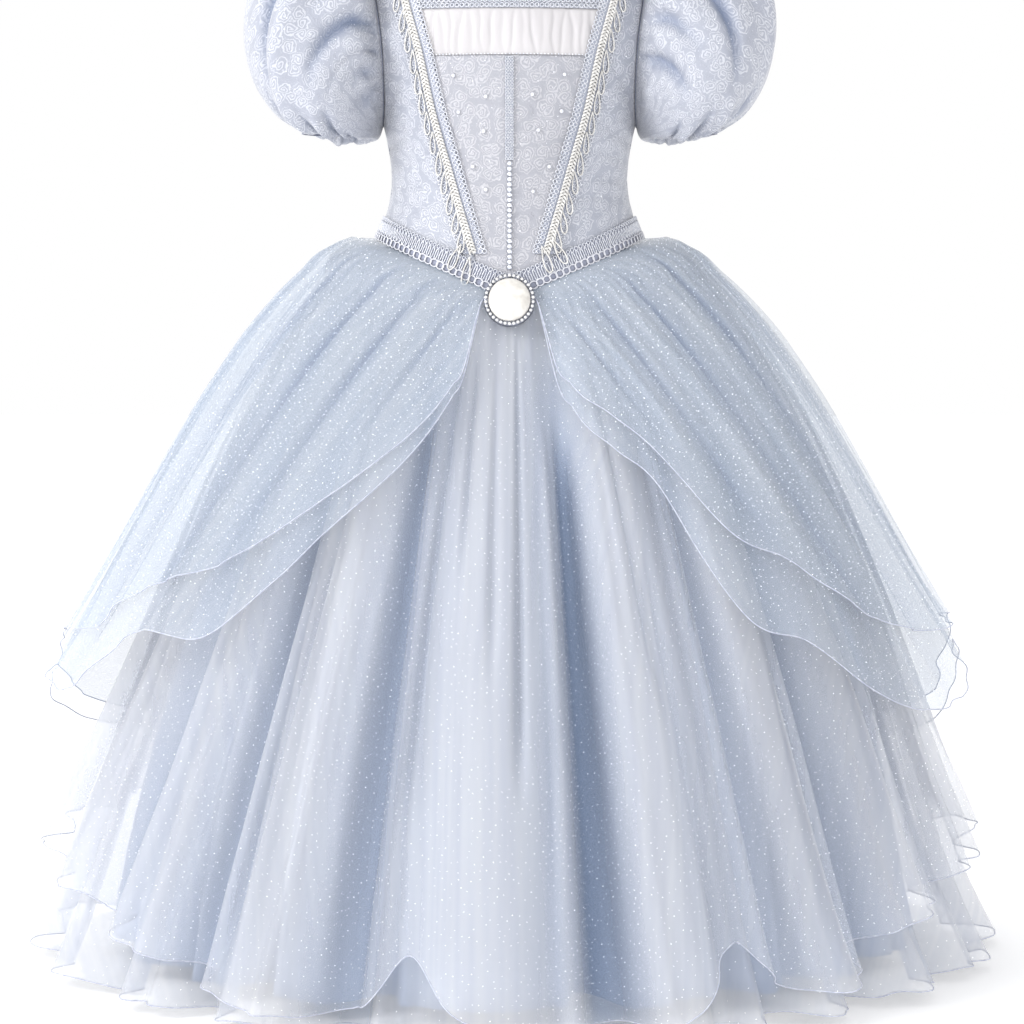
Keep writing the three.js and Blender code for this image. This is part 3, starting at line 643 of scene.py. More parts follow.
def glitter_tree():
    """Small flat flecks stuck on a cloth, evenly but not regularly spaced, each at its own tilt."""
    inputs = {"Cloth": "Geometry", "Spacing": "Float", "Density": "Float", "Size": "Float",
              "Seed": "Int", "Finish": "Material"}
    tree, start, end = node_tree("glitter", inputs)
    spread = tree_node(tree, "GeometryNodeDistributePointsOnFaces", distribute_method="POISSON")
    fleck = tree_node(tree, "GeometryNodeMeshCircle", {"Vertices": FLECK_SIDES}, fill_type="NGON")
    half = tree_node(tree, "ShaderNodeMath", {1: 0.5}, operation="MULTIPLY")
    tilt = tree_node(tree, "FunctionNodeRandomValue", data_type="FLOAT_VECTOR")
    tilt.inputs["Min"].default_value = (-FLECK_TILT, -FLECK_TILT, 0)
    tilt.inputs["Max"].default_value = (FLECK_TILT, FLECK_TILT, math.pi)
    turned = tree_node(tree, "FunctionNodeRotateRotation", rotation_space="LOCAL")
    sizes = tree_node(tree, "FunctionNodeRandomValue", {"Min": FLECK_SIZES[0], "Max": FLECK_SIZES[1]})
    place = tree_node(tree, "GeometryNodeInstanceOnPoints")
    wire(tree,
         (start, "Cloth", spread, "Mesh"),
         (start, "Spacing", spread, "Distance Min"),
         (start, "Density", spread, "Density Max"),
         (start, "Seed", spread, "Seed"),
         (start, "Seed", tilt, "Seed"),
         (start, "Seed", sizes, "Seed"),
         (start, "Size", half, 0),
         (half, 0, fleck, "Radius"),
         (spread, "Points", place, "Points"),
         (spread, "Rotation", turned, "Rotation"),
         (tilt, "Value", turned, "Rotate By"),
         (turned, "Rotation", place, "Rotation"),
         (fleck, "Mesh", place, "Instance"),
         (sizes, 1, place, "Scale"))
    return finish_tree(tree, start, end, place, "Instances")


def grown(name, mesh, tree, **values):
    """What a tree makes of a mesh, as a plain piece of its own."""
    carrier = add_object(name + "_carrier", mesh)
    modifier = carrier.modifiers.new("grow", "NODES")
    modifier.node_group = tree
    for item in tree.interface.items_tree:
        if item.in_out == "INPUT" and item.name in values:
            modifier[item.identifier] = values[item.name]
    evaluated = carrier.evaluated_get(bpy.context.evaluated_depsgraph_get())
    made = bpy.data.meshes.new_from_object(evaluated)
    bpy.data.objects.remove(carrier)
    made.name = name
    return add_object(name, made)


def line_mesh(name, points, closed=False):
    """A bare line of points in millimetres, for a tree to work along."""
    mesh = bpy.data.meshes.new(name)
    edges = [(k, k + 1) for k in range(len(points) - 1)]
    if closed:
        edges.append((len(points) - 1, 0))
    mesh.from_pydata((np.asarray(points) * MM).tolist(), edges, [])
    return mesh


rolled_edge = rolled_edge_tree()
glitter = glitter_tree()
hem_cloth = toned("rolled_tulle", (0.70, 0.72, 0.80), (0.83, 0.845, 0.90), 0.5, 300)
# The glitter flecks glow a little: painted glints over their own shine.
glowing_fleck_silver = toned("glitter_flecks_glowing", (0.94, 0.95, 0.98), (1.0, 1.0, 1.0), 0.22, 900,
                     Emission_Strength=0.7, Emission_Color=(0.95, 0.97, 1, 1))



def sheer(name, grid, net, edge, flecks, slot, *nodes):
    """A layer of net with a rolled hem along its loose edge and glitter stuck on it."""
    points, folds = grid
    ringed = edge is None
    line = line_mesh(name, points[-1] if ringed else edge, ringed)
    piece = cloth(name, points, net, ringed, folds=folds)
    hem = grown(name + "_hem", line, rolled_edge, Thickness=HEM_THICKNESS * MM, Finish=hem_cloth)
    glowing_glint = grown(name + "_" + flecks["called"], piece.data.copy(), glitter, Spacing=flecks["spacing"],
                  Density=flecks["density"], Size=flecks["size"] * MM, Seed=flecks["seed"],
                  Finish=glowing_fleck_silver)
    fitted(piece, slot, *nodes)
    fitted(hem, slot)
    fitted(glowing_glint, slot)
    return piece, [hem, glowing_glint]


long_grid = full_skirt(LONG, lambda degrees: LONG_REACH + 0 * degrees)
long_net = tulle_finish("long_tulle", *LONG_TONES, LONG_ALPHA)
long_tulle, long_trims = sheer("long_tulle", long_grid, long_net, None, LONG_GLITTER,
                               "tulle", "tulle_long")

# Upper tulle: the shorter full skirt of the same net over the long one, with more glitter on it.
UPPER = {"sink": 2.2, "lifted": 0.8, "upper": 0.8, "seed": 8}
UPPER_TONES = ((0.89, 0.90, 0.94), (0.94, 0.95, 0.97))
UPPER_ALPHA = 0.3
UPPER_GLITTER = dict(LONG_GLITTER, spacing=0.0045, density=24000, seed=12)
# The drop of its hem by the turn from the front, where it dips and rises in two points.
UPPER_HEM = table("turn drop", [
    (-180, 545), (-130, 538), (-85, 540), (-60, 556), (-38, 592), (-20, 612), (-15, 600),
    (-10.5, 562), (-6, 602), (4, 614), (19, 608), (25.6, 560), (31, 600), (48, 574), (70, 542),
    (120, 536), (180, 545),
])
upper_grid = full_skirt(UPPER, reader(UPPER_HEM, "turn", "drop"))
upper_net = tulle_finish("upper_tulle", *UPPER_TONES, UPPER_ALPHA)
upper_tulle, upper_trims = sheer("upper_tulle", upper_grid, upper_net, None, UPPER_GLITTER,
                                 "tulle", "tulle_upper")

# Overskirts: two swags of dotted glitter tulle, each of two plies, gathered at the waist from the
# brooch round to the centre back. Their lower edges sweep up to the brooch and end in rolled hems.
LEFT_LOWER_HEM = table("turn drop", [
    (8, 12), (9, 64), (11, 92), (13, 113), (17.3, 149), (21.5, 177), (28, 219), (34, 262),
    (40, 304), (59, 336), (65, 376), (84, 380), (110, 451), (180, 520),
])
LEFT_UPPER_HEM = table("turn drop", [
    (8, 10), (9, 58), (11, 82), (13, 100), (17.3, 130), (21.5, 153), (28, 187), (34, 217),
    (40, 247), (59, 296), (65, 322), (84, 350), (110, 430), (180, 506),
])
RIGHT_LOWER_HEM = table("turn drop", [
    (8, 12), (9, 62), (12, 103), (18, 141), (24, 177), (28, 233), (33, 290), (41, 317), (50, 368),
    (70, 396), (88, 360), (110, 450), (180, 520),
])
RIGHT_UPPER_HEM = table("turn drop", [
    (8, 10), (9, 50), (12, 82), (18, 112), (24, 145), (28, 178), (33, 220), (41, 252), (50, 296),
    (70, 336), (88, 335), (110, 425), (180, 505),
])
OVERSKIRT_GAP = table("drop gap", [
    (0, 1.2), (12, 3), (80, 7.5), (240, 9), (450, 12),
])
OVERSKIRT_SINK = 0.4
SIDE_FLARE = 26
END_FLARE = 6
BACK_PARTING = 0.35
# The swags' folds sweep outwards on their way down, most of all beside the front edge.
SWEEP = {"degrees": 0.15, "ends": 100}
SWAG_GATHERS = {"count": 110, "wide": 0.9, "deep": 2.6, "short": 40, "long": 200}
SWAG_PLEATS = {"count": 30, "wide": 1.3, "deep": 2.4, "shortest": 120}
# The swags' main folds, listed like the creases above. A depth below 0 is a ridge.
LEFT_FOLD_LINES = table("turn start end wide deep lean", [
    (12, 15, 150, 1.7, 4.0, 2),
    (18, 20, 240, 2.2, -4.5, 3),
    (24, 10, 300, 2.0, 6.0, 5),
    (31, 30, 330, 2.6, -5.0, 5),
    (38, 10, 360, 2.2, 6.5, 5),
    (48, 40, 420, 2.8, -5.0, 4),
    (57, 10, 390, 2.4, 6.5, 4),
    (69, 30, 430, 3.2, -5.5, 3),
    (81, 10, 400, 2.6, 6.0, 3),
    (96, 20, 460, 3.4, -5.0, 2),
    (110, 10, 430, 2.6, 6.5, -2),
    (128, 40, 480, 3.6, -5.5, 2),
    (143, 10, 440, 2.8, 6.0, 3),
    (161, 30, 500, 3.2, -5.0, -1),
    (172, 10, 420, 2.4, 5.5, 1),
])
RIGHT_FOLD_LINES = table("turn start end wide deep lean", [
    (11.5, 15, 120, 1.6, 3.8, 2),
    (16, 15, 190, 2.0, -4.2, 3),
    (21, 10, 260, 1.9, 6.0, 4),
    (29, 30, 350, 2.8, -5.2, 5),
    (35, 10, 340, 2.1, 6.5, 6),
    (44, 30, 400, 2.5, -4.8, 4),
    (53, 10, 420, 2.6, 6.5, 4),
    (64, 40, 410, 3.0, -5.6, 3),
    (76, 10, 440, 2.5, 6.2, 2),
    (91, 20, 430, 3.5, -5.2, 3),
    (105, 10, 450, 2.7, 6.3, -3),
    (121, 30, 470, 3.3, -5.0, 2),
    (138, 10, 430, 2.9, 6.4, -2),
    (155, 40, 490, 3.4, -5.4, 1),
    (170, 10, 450, 2.5, 5.8, 2),
])
SWAG_FLUTES = {"count": 40, "wide": 2.6, "out": 9.0, "rise": 5.0, "reach": 90}
SWAG_REACH = 450
# The fold depths, down the swag and at the waist, at which the swags' painted shade is full.
SWAG_FULLY_SHADED_FOLD = 14
WAIST_FULLY_SHADED_FOLD = 3.5
SWAG_TONES = ((0.79, 0.845, 0.92), (0.875, 0.915, 0.97))
SWAG_ALPHA = 0.27
SWAG_DOTS = {"called": "dots", "spacing": 0.0042, "density": 26000, "size": 0.95}
# The swags' columns start close together at the front edge, and their lower edges are calm there.
SWAG_EDGE = (8.0, 8.4)
SWAG_START = 9
CALM_EDGE = (14, 75)
SWAG_COLUMNS = 270
SWAG_ROWS = 54
PLIES = table("ply out seed", [("lower", 0.0, 21), ("upper", 3.6, 22)])
SIDES = table("side sign lower upper folds", [
    ("left", -1, LEFT_LOWER_HEM, LEFT_UPPER_HEM, LEFT_FOLD_LINES),
    ("right", 1, RIGHT_LOWER_HEM, RIGHT_UPPER_HEM, RIGHT_FOLD_LINES),
])
gap_at = reader(OVERSKIRT_GAP, "drop", "gap")


def swag(side, ply):
    """The grid of points of one ply of an overskirt, from the front edge to the centre back."""
    random = np.random.default_rng(ply["seed"])
    spread = np.linspace(0, 1, SWAG_COLUMNS)
    crowded = SWAG_START + (180 - SWAG_START - BACK_PARTING) * (0.72 * spread + 0.28 * spread ** 2)
    degrees = np.concatenate([SWAG_EDGE, crowded])[None, :]
    share = np.linspace(0, 1, SWAG_ROWS)[:, None]
    share = 0.3 * share + 0.7 * share ** 1.5
    turn = np.radians(degrees)
    length = reader(side[ply["ply"]], "turn", "drop")(degrees)
    drop = np.minimum(share * length / drop_scale(turn), LONG_REACH)
    swept = degrees - SWEEP["degrees"] * drop * np.clip(1 - degrees / SWEEP["ends"], 0, 1) ** 1.5
    folds = gathered(swept, drop, random, SWAG_GATHERS) - creased(swept, drop, side["folds"], SWAG_REACH)
    pleats = random_creases(random, SWAG_PLEATS, SWAG_REACH)
    folds = folds - creased(swept, drop, pleats, SWAG_REACH) * smooth(10, 200, drop)
    flute, rise = hem_flutes(degrees, drop, drop[-1:], random, SWAG_FLUTES)
    edge = smooth(*CALM_EDGE, degrees)
    flare = (END_FLARE + (SIDE_FLARE - END_FLARE) * np.sin(turn) ** 2) * share ** 2
    out = skirt["upper"](drop) + gap_at(drop) + ply["out"] * smooth(0, 40, drop) + flare + folds
    out = out + flute * edge
    z = waist_level(turn) - OVERSKIRT_SINK - share * length + lift_at(turn, drop) + rise * edge
    points = skirt_points(turn, drop, out, z)
    # Painted shade: the plies darken where their folds go in, fully at a fold as deep as the one given
    # here.
    fully_shaded_depth = WAIST_FULLY_SHADED_FOLD + (SWAG_FULLY_SHADED_FOLD - WAIST_FULLY_SHADED_FOLD) * smooth(0, 220, drop)
    fold_shade_share = np.clip(0.16 - folds / fully_shaded_depth, 0, 1) * smooth(0, 14, drop)
    if side["sign"] > 0:
        return points, fold_shade_share
    return points[:, ::-1] * np.array([-1, 1, 1]), fold_shade_share[:, ::-1]


for side in SIDES:
    for ply in PLIES:
        name = "overskirt_" + side["side"] + "_" + ply["ply"]
        net = tulle_finish(name, *SWAG_TONES, SWAG_ALPHA)
        grid = swag(side, ply)
        front = 0 if side["sign"] > 0 else -1
        edge_line = np.concatenate([grid[0][:, front], grid[0][-1, :: side["sign"]][1:]])
        nodes = ["overskirt_" + side["side"]] if ply["ply"] == "lower" else []
        dots = dict(SWAG_DOTS, seed=ply["seed"])
        piece, trims = sheer(name, grid, net, edge_line, dots, "glitter_tulle", *nodes)

# Centre front: the pale brocade plastron between the slanting seams, sewn in from the gathered inset
# down to the pointed waist. It puckers softly beside the chain that is stitched down its middle.
SEAM_HALF = 0.15
STRAP_ROOT = -57
INSET_FOOT = -126.5
NECK_HALF = 78
SHOULDER_SLOPE = 0.25
WAIST_PASSES = 12
TORSO = table("z side front back", [
    (-340, 121, 97, 84),
    (-286, 119, 92, 80),
    (-260, 110, 87, 76),
    (-239, 106, 85, 74),
    (-194, 110, 88, 78),
    (-150, 123, 91, 83),
    (-110, 136, 90, 85),
    (-57, 137, 80, 78),
    (0, 134, 76, 76),
])
FRONT_SEAM = table("z x", [
    (-345, 15), (-336, 18), (-304, 29), (-263, 41), (-217, 54), (-178, 65), (-123, 76), (-79, 80.5),
    (-57, 81), (0, 78),
])
# Soft troughs and ridges in the bodice's cloth: the middle of each, its half length and half width,
# its depth (ridges above 0), its lean up to the right in degrees, and how far its ends bend down.
CENTRE_PUCKERS = table("x z long wide deep lean bend", [
    (-17, -229, 12, 2.0, -0.9, -9, 1.0),
    (-16, -238, 14, 2.2, -1.1, -4, 0.6),
    (-18, -247, 12, 1.9, -0.8, -7, 1.4),
    (-15, -256, 13, 2.3, -1.2, 2, 0.4),
    (-16, -266, 11, 2.0, -0.9, 5, 0.8),
    (-13, -275, 11, 1.8, -1.0, 9, 0.2),
    (-13, -285, 9, 2.1, -0.9, 12, 0.7),
    (-11, -295, 8, 1.9, -0.8, 15, 0.5),
    (16, -227, 13, 2.1, -0.8, 7, 0.7),
    (18, -236, 12, 1.9, -1.0, 10, 1.2),
    (16, -245, 14, 2.2, -1.1, 3, 0.5),
    (17, -255, 11, 2.0, -0.8, -1, 0.9),
    (14, -264, 12, 2.2, -1.1, -6, 0.3),
    (15, -274, 10, 1.9, -0.9, -8, 0.8),
    (12, -283, 10, 2.1, -1.0, -13, 0.4),
    (12, -293, 8, 1.8, -0.8, -16, 0.6),
    (-31, -158, 26, 7.0, -0.8, -62, 2.0),
    (28, -168, 24, 6.5, -0.9, 66, 2.0),
    (-9, -190, 32, 5.0, 0.7, 86, 1.0),
    (38, -214, 22, 5.0, -0.7, 58, 1.5),
    (-36, -209, 20, 5.0, -0.7, -55, 1.5),
])
BROCADE_GROUND = (0.665, 0.68, 0.73)
BROCADE_SCROLL = (0.80, 0.81, 0.845)
# Painted shade: the darker tone of the brocade deep in its folds.
SHADED_FOLD_BROCADE = (0.44, 0.495, 0.61)
PALE_GROUND = (0.665, 0.67, 0.705)
PALE_SCROLL = (0.77, 0.77, 0.795)
# The brocade's curls: their spacing in millimetres, their lines, and how far they wander. Its threads
# and its painted glints, small glowing points, are so many in each metre.
CURL = 12
CURL_LINES = 30
CURL_HALF = 0.66
CURL_UNEVENNESS = 0.8
WANDER = 0.6
WANDER_SCALE = 1.9
THREADS = 620
PAINTED_GLINTS = 520

torso = {name: reader(TORSO, "z", name) for name in ("side", "front", "back")}
front_seam = reader(FRONT_SEAM, "z", "x")


def turn_at(x, z):
    return np.arcsin(np.clip(x / torso["side"](z), -1, 1))


def torso_points(turn, z):
    """Points of the bodice's outer face. Above the straps' roots its section closes over the shoulder."""
    turn, z = np.broadcast_arrays(turn, z)
    closed = np.sqrt(np.clip(1 - np.maximum(1 - z / STRAP_ROOT, 0) ** 2, 0, 1))
    x = torso["side"](z) * np.sin(turn)
    deep = np.where(np.cos(turn) > 0, torso["front"](z), torso["back"](z)) * closed
    sunk = SHOULDER_SLOPE * smooth(STRAP_ROOT, 0, z) * np.maximum(np.abs(x) - NECK_HALF, 0)
    return np.stack([x, -deep * np.cos(turn), z - sunk], axis=-1)


def seam_edge(side, gap):
    """An edge along a slanting front seam, as a turn at each level."""
    return lambda z: side * turn_at(front_seam(z) + gap, z)


def panel(top, foot, rows, columns, first, last, crowd=1.0):
    """A grid on the torso between two edges. A foot of None stands for the waist seam."""
    share = np.linspace(0, 1, columns)[None, :]

    def turn_of(z):
        return first(z) + (last(z) - first(z)) * share

    end = np.full((1, columns), float(WAIST_SIDE if foot is None else foot))
    if foot is None:
        for _ in range(WAIST_PASSES):
            end = waist_level(turn_of(end))
    z = top + (end - top) * np.linspace(0, 1, rows)[:, None] ** crowd
    return torso_points(turn_of(z), z)


def puckered(points, creases):
    """Lets soft troughs and ridges into a grid of points."""
    height = np.zeros(points.shape[:2])
    for crease in creases:
        lean = math.radians(crease["lean"])
        x = points[..., 0] - crease["x"]
        z = points[..., 2] - crease["z"]
        along = (x * math.cos(lean) + z * math.sin(lean)) / crease["long"]
        across = z * math.cos(lean) - x * math.sin(lean) + crease["bend"] * along ** 2
        height += crease["deep"] * np.exp(-((across / crease["wide"]) ** 2) - along ** 4)
    return points + outward(points) * height[..., None]


def brocade_finish(name, ground, scroll):
    """Brocade: raised curls woven on a satin ground, with painted glints, small glowing points for a few
    bright metal threads, and painted shade deep in its folds.
    """
    finish = plain_finish(name, ground, 0.42, Sheen_Weight=0.3, Sheen_Roughness=0.4)
    nodes = Nodes(finish)
    spot = nodes.lengths(1000 / CURL, 1000 / CURL)
    cells = nodes.add("ShaderNodeTexVoronoi", {"Scale": 1, "Randomness": CURL_UNEVENNESS},
                      voronoi_dimensions="2D")
    away = nodes.add("ShaderNodeVectorMath", operation="SUBTRACT")
    apart = nodes.add("ShaderNodeSeparateXYZ")
    chance = nodes.add("ShaderNodeSeparateXYZ")
    wander = nodes.add("ShaderNodeTexNoise", {"Scale": WANDER_SCALE, "Detail": 1})
    bent = nodes.add("ShaderNodeVectorMath", {1: (WANDER, WANDER, 0)}, operation="MULTIPLY_ADD")
    nodes.join(spot, wander.inputs["Vector"])
    nodes.join(spot, bent.inputs[2])
    wire(nodes.tree,
         (wander, "Color", bent, 0),
         (bent, 0, cells, "Vector"),
         (bent, 0, away, 0),
         (cells, "Position", away, 1),
         (away, 0, apart, 0),
         (cells, "Color", chance, 0))
    angle = nodes.maths("ARCTAN2", apart.outputs["Y"], apart.outputs["X"])
    hand = nodes.maths("SIGN", nodes.maths("SUBTRACT", chance.outputs["X"], 0.5))
    wound = nodes.maths("MULTIPLY", cells.outputs["Distance"], CURL_LINES)
    curl = nodes.maths("SINE", nodes.maths("ADD", wound, nodes.maths("MULTIPLY", angle, hand)))
    fade = nodes.maths("MULTIPLY", nodes.maths("SUBTRACT", CURL_HALF, cells.outputs["Distance"]), 4)
    line = nodes.maths("MULTIPLY", nodes.maths("ADD", curl, 0.55), nodes.maths("MINIMUM", fade, 1))
    thread = nodes.noise(nodes.lengths(THREADS, THREADS), detail=1)
    raised = nodes.maths("ADD", line, nodes.maths("MULTIPLY", nodes.maths("SUBTRACT", thread, 0.5), 1.6))
    woven = nodes.blend(raised, ground, scroll, 0.15, 0.95)
    nodes.colour(nodes.mixed(nodes.painted_fold_shade(), woven, SHADED_FOLD_BROCADE))
    nodes.relief(raised, 0.35, 0.5)
    # Painted glints: small points of the brocade glow.
    nodes.glowing_glint(nodes.noise(nodes.lengths(PAINTED_GLINTS, PAINTED_GLINTS), detail=0), 0.76, 0.84, 0.5)
    return finish


pale_brocade = brocade_finish("pale_brocade", PALE_GROUND, PALE_SCROLL)
front_edges = (seam_edge(-1, -SEAM_HALF), seam_edge(1, -SEAM_HALF))
centre_points = puckered(panel(INSET_FOOT - 2 * SEAM_HALF, None, 96, 72, *front_edges), CENTRE_PUCKERS)
centre_front = cloth("centre_front_brocade", centre_points, pale_brocade, thickness=SATIN)
fitted(centre_front, "pale_brocade", "centre_front")

# Inset: a strip of cream satin drawn up into soft upright gathers between the neck band and the
# centre front, with a row of small beads stitched along its lower seam.
BAND_FOOT = -85.8
INSET_WALL = 1.2
INSET_GATHERS = table("x lean wide deep wave", [
    (-76, 2, 2.4, 1.4, 0.6),
    (-67, -3, 2.0, 2.2, 0.9),
    (-58, 4, 2.6, 1.7, 0.5),
    (-51, 1, 1.7, 1.2, 1.1),
    (-43, -4, 2.3, 2.3, 0.8),
    (-33, 2, 2.8, 1.8, 0.6),
    (-25, 3, 1.8, 1.4, 1.2),
    (-16, -2, 2.2, 2.4, 0.7),
    (-6, 1, 2.5, 1.6, 0.9),
    (3, -3, 1.9, 2.2, 0.5),
    (12, 2, 2.4, 1.5, 1.0),
    (20, 4, 2.0, 2.3, 0.7),
    (29, -2, 2.6, 1.3, 0.8),
    (38, 1, 2.1, 2.2, 1.1),
    (46, -4, 1.8, 1.7, 0.6),
    (55, 3, 2.5, 2.3, 0.9),
    (63, -1, 2.0, 1.4, 0.7),
    (72, 2, 2.3, 2.0, 0.8),
])
INSET_LEAN = 1.3
INSET_DEPTH = 0.5
INSET_WAVES = 7
BEAD_ROW_PITCH = 3.1
INSET_BEAD = 1.5


def gathered_inset(points):
    """Upright troughs between soft swells, each wandering a little on its way down."""
    down = np.linspace(0, 1, len(points))[:, None]
    height = np.zeros(points.shape[:2])
    for fold in INSET_GATHERS:
        middle = fold["x"] + INSET_LEAN * fold["lean"] * (down - 0.5)
        middle = middle + fold["wave"] * np.sin(down * INSET_WAVES + fold["x"])
        height -= INSET_DEPTH * fold["deep"] * bell(points[..., 0] - middle, fold["wide"])
    return points + outward(points) * (height * (0.4 + 0.6 * np.sin(down * math.pi)))[..., None]


def on_torso(turn, z, out):
    """Points at a distance out from the bodice, and the directions out there."""
    step = 0.002
    across = torso_points(turn + step, z) - torso_points(turn - step, z)
    down = torso_points(turn, z - 0.3) - torso_points(turn, z + 0.3)
    normal = np.cross(down, across)
    normal /= np.linalg.norm(normal, axis=-1, keepdims=True)
    return torso_points(turn, z) + normal * out, normal


def row_on_torso(turns, levels, out, pitch):
    """Evenly spaced places along a fine line on the bodice: points, directions out and along."""
    line, normal = on_torso(turns, levels, out)
    reach = np.concatenate([[0], np.cumsum(np.linalg.norm(np.diff(line, axis=0), axis=1))])
    count = max(int(round(reach[-1] / pitch)), 1)
    at = (np.arange(count) + 0.5) * reach[-1] / count
    read_all = [np.stack([np.interp(at, reach, grid[:, k]) for k in range(3)], axis=-1)
                for grid in (line, normal, np.gradient(line, axis=0))]
    return read_all


def joined(rows):
    """Several rows of places as one."""
    return [np.concatenate([row[k] for row in rows]) for k in range(3)]


def motif_tree():
    """One sewn-on motif at each point of a carrier, turned to its directions out and along."""
    inputs = {"Carrier": "Geometry", "Motif": "Object", "Unevenness": "Float", "Seed": "Int",
              "Finish": "Material"}
    tree, start, end = node_tree("motifs", inputs)
    sample = tree_node(tree, "GeometryNodeObjectInfo")
    place = tree_node(tree, "GeometryNodeInstanceOnPoints")
    turned = None
    for axis, label in (("Z", "out"), ("Y", "lie")):
        direction = tree_node(tree, "GeometryNodeInputNamedAttribute", {"Name": label},
                              data_type="FLOAT_VECTOR")
        facing = tree_node(tree, "FunctionNodeAlignRotationToVector", axis=axis)
        if turned:
            facing.pivot_axis = "Z"
            wire(tree, (turned, "Rotation", facing, "Rotation"))
        wire(tree, (direction, "Attribute", facing, "Vector"))
        turned = facing
    sizes = tree_node(tree, "FunctionNodeRandomValue")
    for label, operation in (("Min", "SUBTRACT"), ("Max", "ADD")):
        bound = tree_node(tree, "ShaderNodeMath", {0: 1.0}, operation=operation)
        limit = [socket for socket in sizes.inputs if socket.name == label and socket.enabled][0]
        wire(tree, (start, "Unevenness", bound, 1))
        tree.links.new(bound.outputs[0], limit)
    tree.links.new([socket for socket in sizes.outputs if socket.enabled][0], place.inputs["Scale"])
    wire(tree,
         (start, "Seed", sizes, "Seed"),
         (start, "Motif", sample, "Object"),
         (start, "Carrier", place, "Points"),
         (sample, "Geometry", place, "Instance"),
         (turned, "Rotation", place, "Rotation"))
    return finish_tree(tree, start, end, place, "Instances")


def set_on(name, places, motif, finish, unevenness=0.06, seed=1):
    """Small pieces of one kind, sewn on at their places and joined in one mesh."""
    points, out, lie = places
    mesh = bpy.data.meshes.new(name + "_places")
    mesh.from_pydata((points * MM).tolist(), [], [])
    for label, directions in (("out", out), ("lie", lie)):
        attribute = mesh.attributes.new(label, "FLOAT_VECTOR", "POINT")
        attribute.data.foreach_set("vector", directions.astype(np.float32).ravel())
    sample = add_object(name + "_sample", motif)
    made = grown(name, mesh, motifs, Motif=sample, Unevenness=unevenness, Seed=seed, Finish=finish)
    bpy.data.objects.remove(sample)
    return made


def bead_mesh(across, height=None):
    """A round bead, or a flatter one, standing on its place."""
    mesh = bpy.data.meshes.new("bead")
    shape = bmesh.new()
    bmesh.ops.create_icosphere(shape, subdivisions=2, radius=across / 2 * MM)
    for vert in shape.verts:
        vert.co.z *= (height or across) / across
    shape.to_mesh(mesh)
    shape.free()
    mesh.shade_smooth()
    return mesh


motifs = motif_tree()
cream_satin = satin_finish("cream_satin", (0.77, 0.76, 0.77), (0.84, 0.83, 0.84), 0.4)
bead_finish = toned("clear_beads", (0.86, 0.88, 0.92), (0.98, 0.98, 1.0), 0.12, 700,
                    Specular_IOR_Level=0.9)
inset_points = panel(BAND_FOOT - 2 * SEAM_HALF, INSET_FOOT, 22, 250, *front_edges)
inset = cloth("inset_satin", gathered_inset(inset_points), cream_satin, thickness=INSET_WALL)
seam_levels = np.full(300, INSET_FOOT + 0.6)
seam_turns = np.linspace(front_edges[0](seam_levels[0]), front_edges[1](seam_levels[0]), 300)
bead_row = row_on_torso(seam_turns, seam_levels, 1.0, BEAD_ROW_PITCH)
inset_beads = set_on("inset_beads", bead_row, bead_mesh(INSET_BEAD), bead_finish)
fitted(inset, "cream_satin", "inset")
fitted(inset_beads, "cream_satin")

# Neck band: a silver-blue band along the front neckline, with a braid of two rows of small rings
# stitched over its lower seam.
RING_ACROSS = 4.3
RING_CORD = 0.95
BAND_RING_LEVELS = (-79.3, -83.7)
THREAD_DARK = (0.74, 0.76, 0.82)
THREAD_LIGHT = (0.96, 0.965, 0.985)


def cord_mesh(path, cord, sides=5, closed=True):
    """A round thread bent along a flat path in millimetres."""
    path = np.asarray(path, float)
    along = np.roll(path, -1, axis=0) - np.roll(path, 1, axis=0) if closed else np.gradient(path, axis=0)
    along /= np.linalg.norm(along, axis=1, keepdims=True)
    across = np.stack([along[:, 1], -along[:, 0]], axis=1)
    angles = np.linspace(0, 2 * math.pi, sides, endpoint=False)
    spokes = np.cos(angles)[None, :, None] * across[:, None, :]
    rise = np.broadcast_to(np.sin(angles)[None, :, None], (len(path), sides, 1))
    points = np.concatenate([path[:, None, :] + spokes * cord / 2, rise * cord / 2], axis=2)
    spans = len(path) if closed else len(path) - 1
    faces = []
    for k in range(spans):
        for n in range(sides):
            corner = [(k, n), (k, n + 1), (k + 1, n + 1), (k + 1, n)]
            faces.append([a % len(path) * sides + b % sides for a, b in corner])
    mesh = bpy.data.meshes.new("thread")
    mesh.from_pydata((points.reshape(-1, 3) * MM).tolist(), [], faces)
    mesh.shade_smooth()
    return mesh


def oval_path(width, height, cord, count=12):
    """The middle line of a cord that is bent to an oval of an outer width and height."""
    angles = np.linspace(0, 2 * math.pi, count, endpoint=False)
    return np.stack([np.sin(angles) * (width - cord) / 2, np.cos(angles) * (height - cord) / 2], axis=1)


ring_motif = oval_path(RING_ACROSS, RING_ACROSS, RING_CORD)
brocade = brocade_finish("silver_blue_brocade", BROCADE_GROUND, BROCADE_SCROLL)
braid_thread = toned("silver_thread", THREAD_DARK, THREAD_LIGHT, 0.34, 900, Metallic=0.15)
band_points = panel(STRAP_ROOT, BAND_FOOT, 14, 90, *front_edges)
neck_band = cloth("neck_band_brocade", band_points, brocade, thickness=SATIN)
band_rows = []
for z in BAND_RING_LEVELS:
    across = np.linspace(front_edges[0](z), front_edges[1](z), 300)
    band_rows.append(row_on_torso(across, np.full(300, z), 1.1, RING_ACROSS))
band_rings = set_on("neck_band_rings", joined(band_rows), cord_mesh(ring_motif, RING_CORD), braid_thread)
fitted(neck_band, "brocade", "neck_band")
fitted(band_rings, "silver_braid")

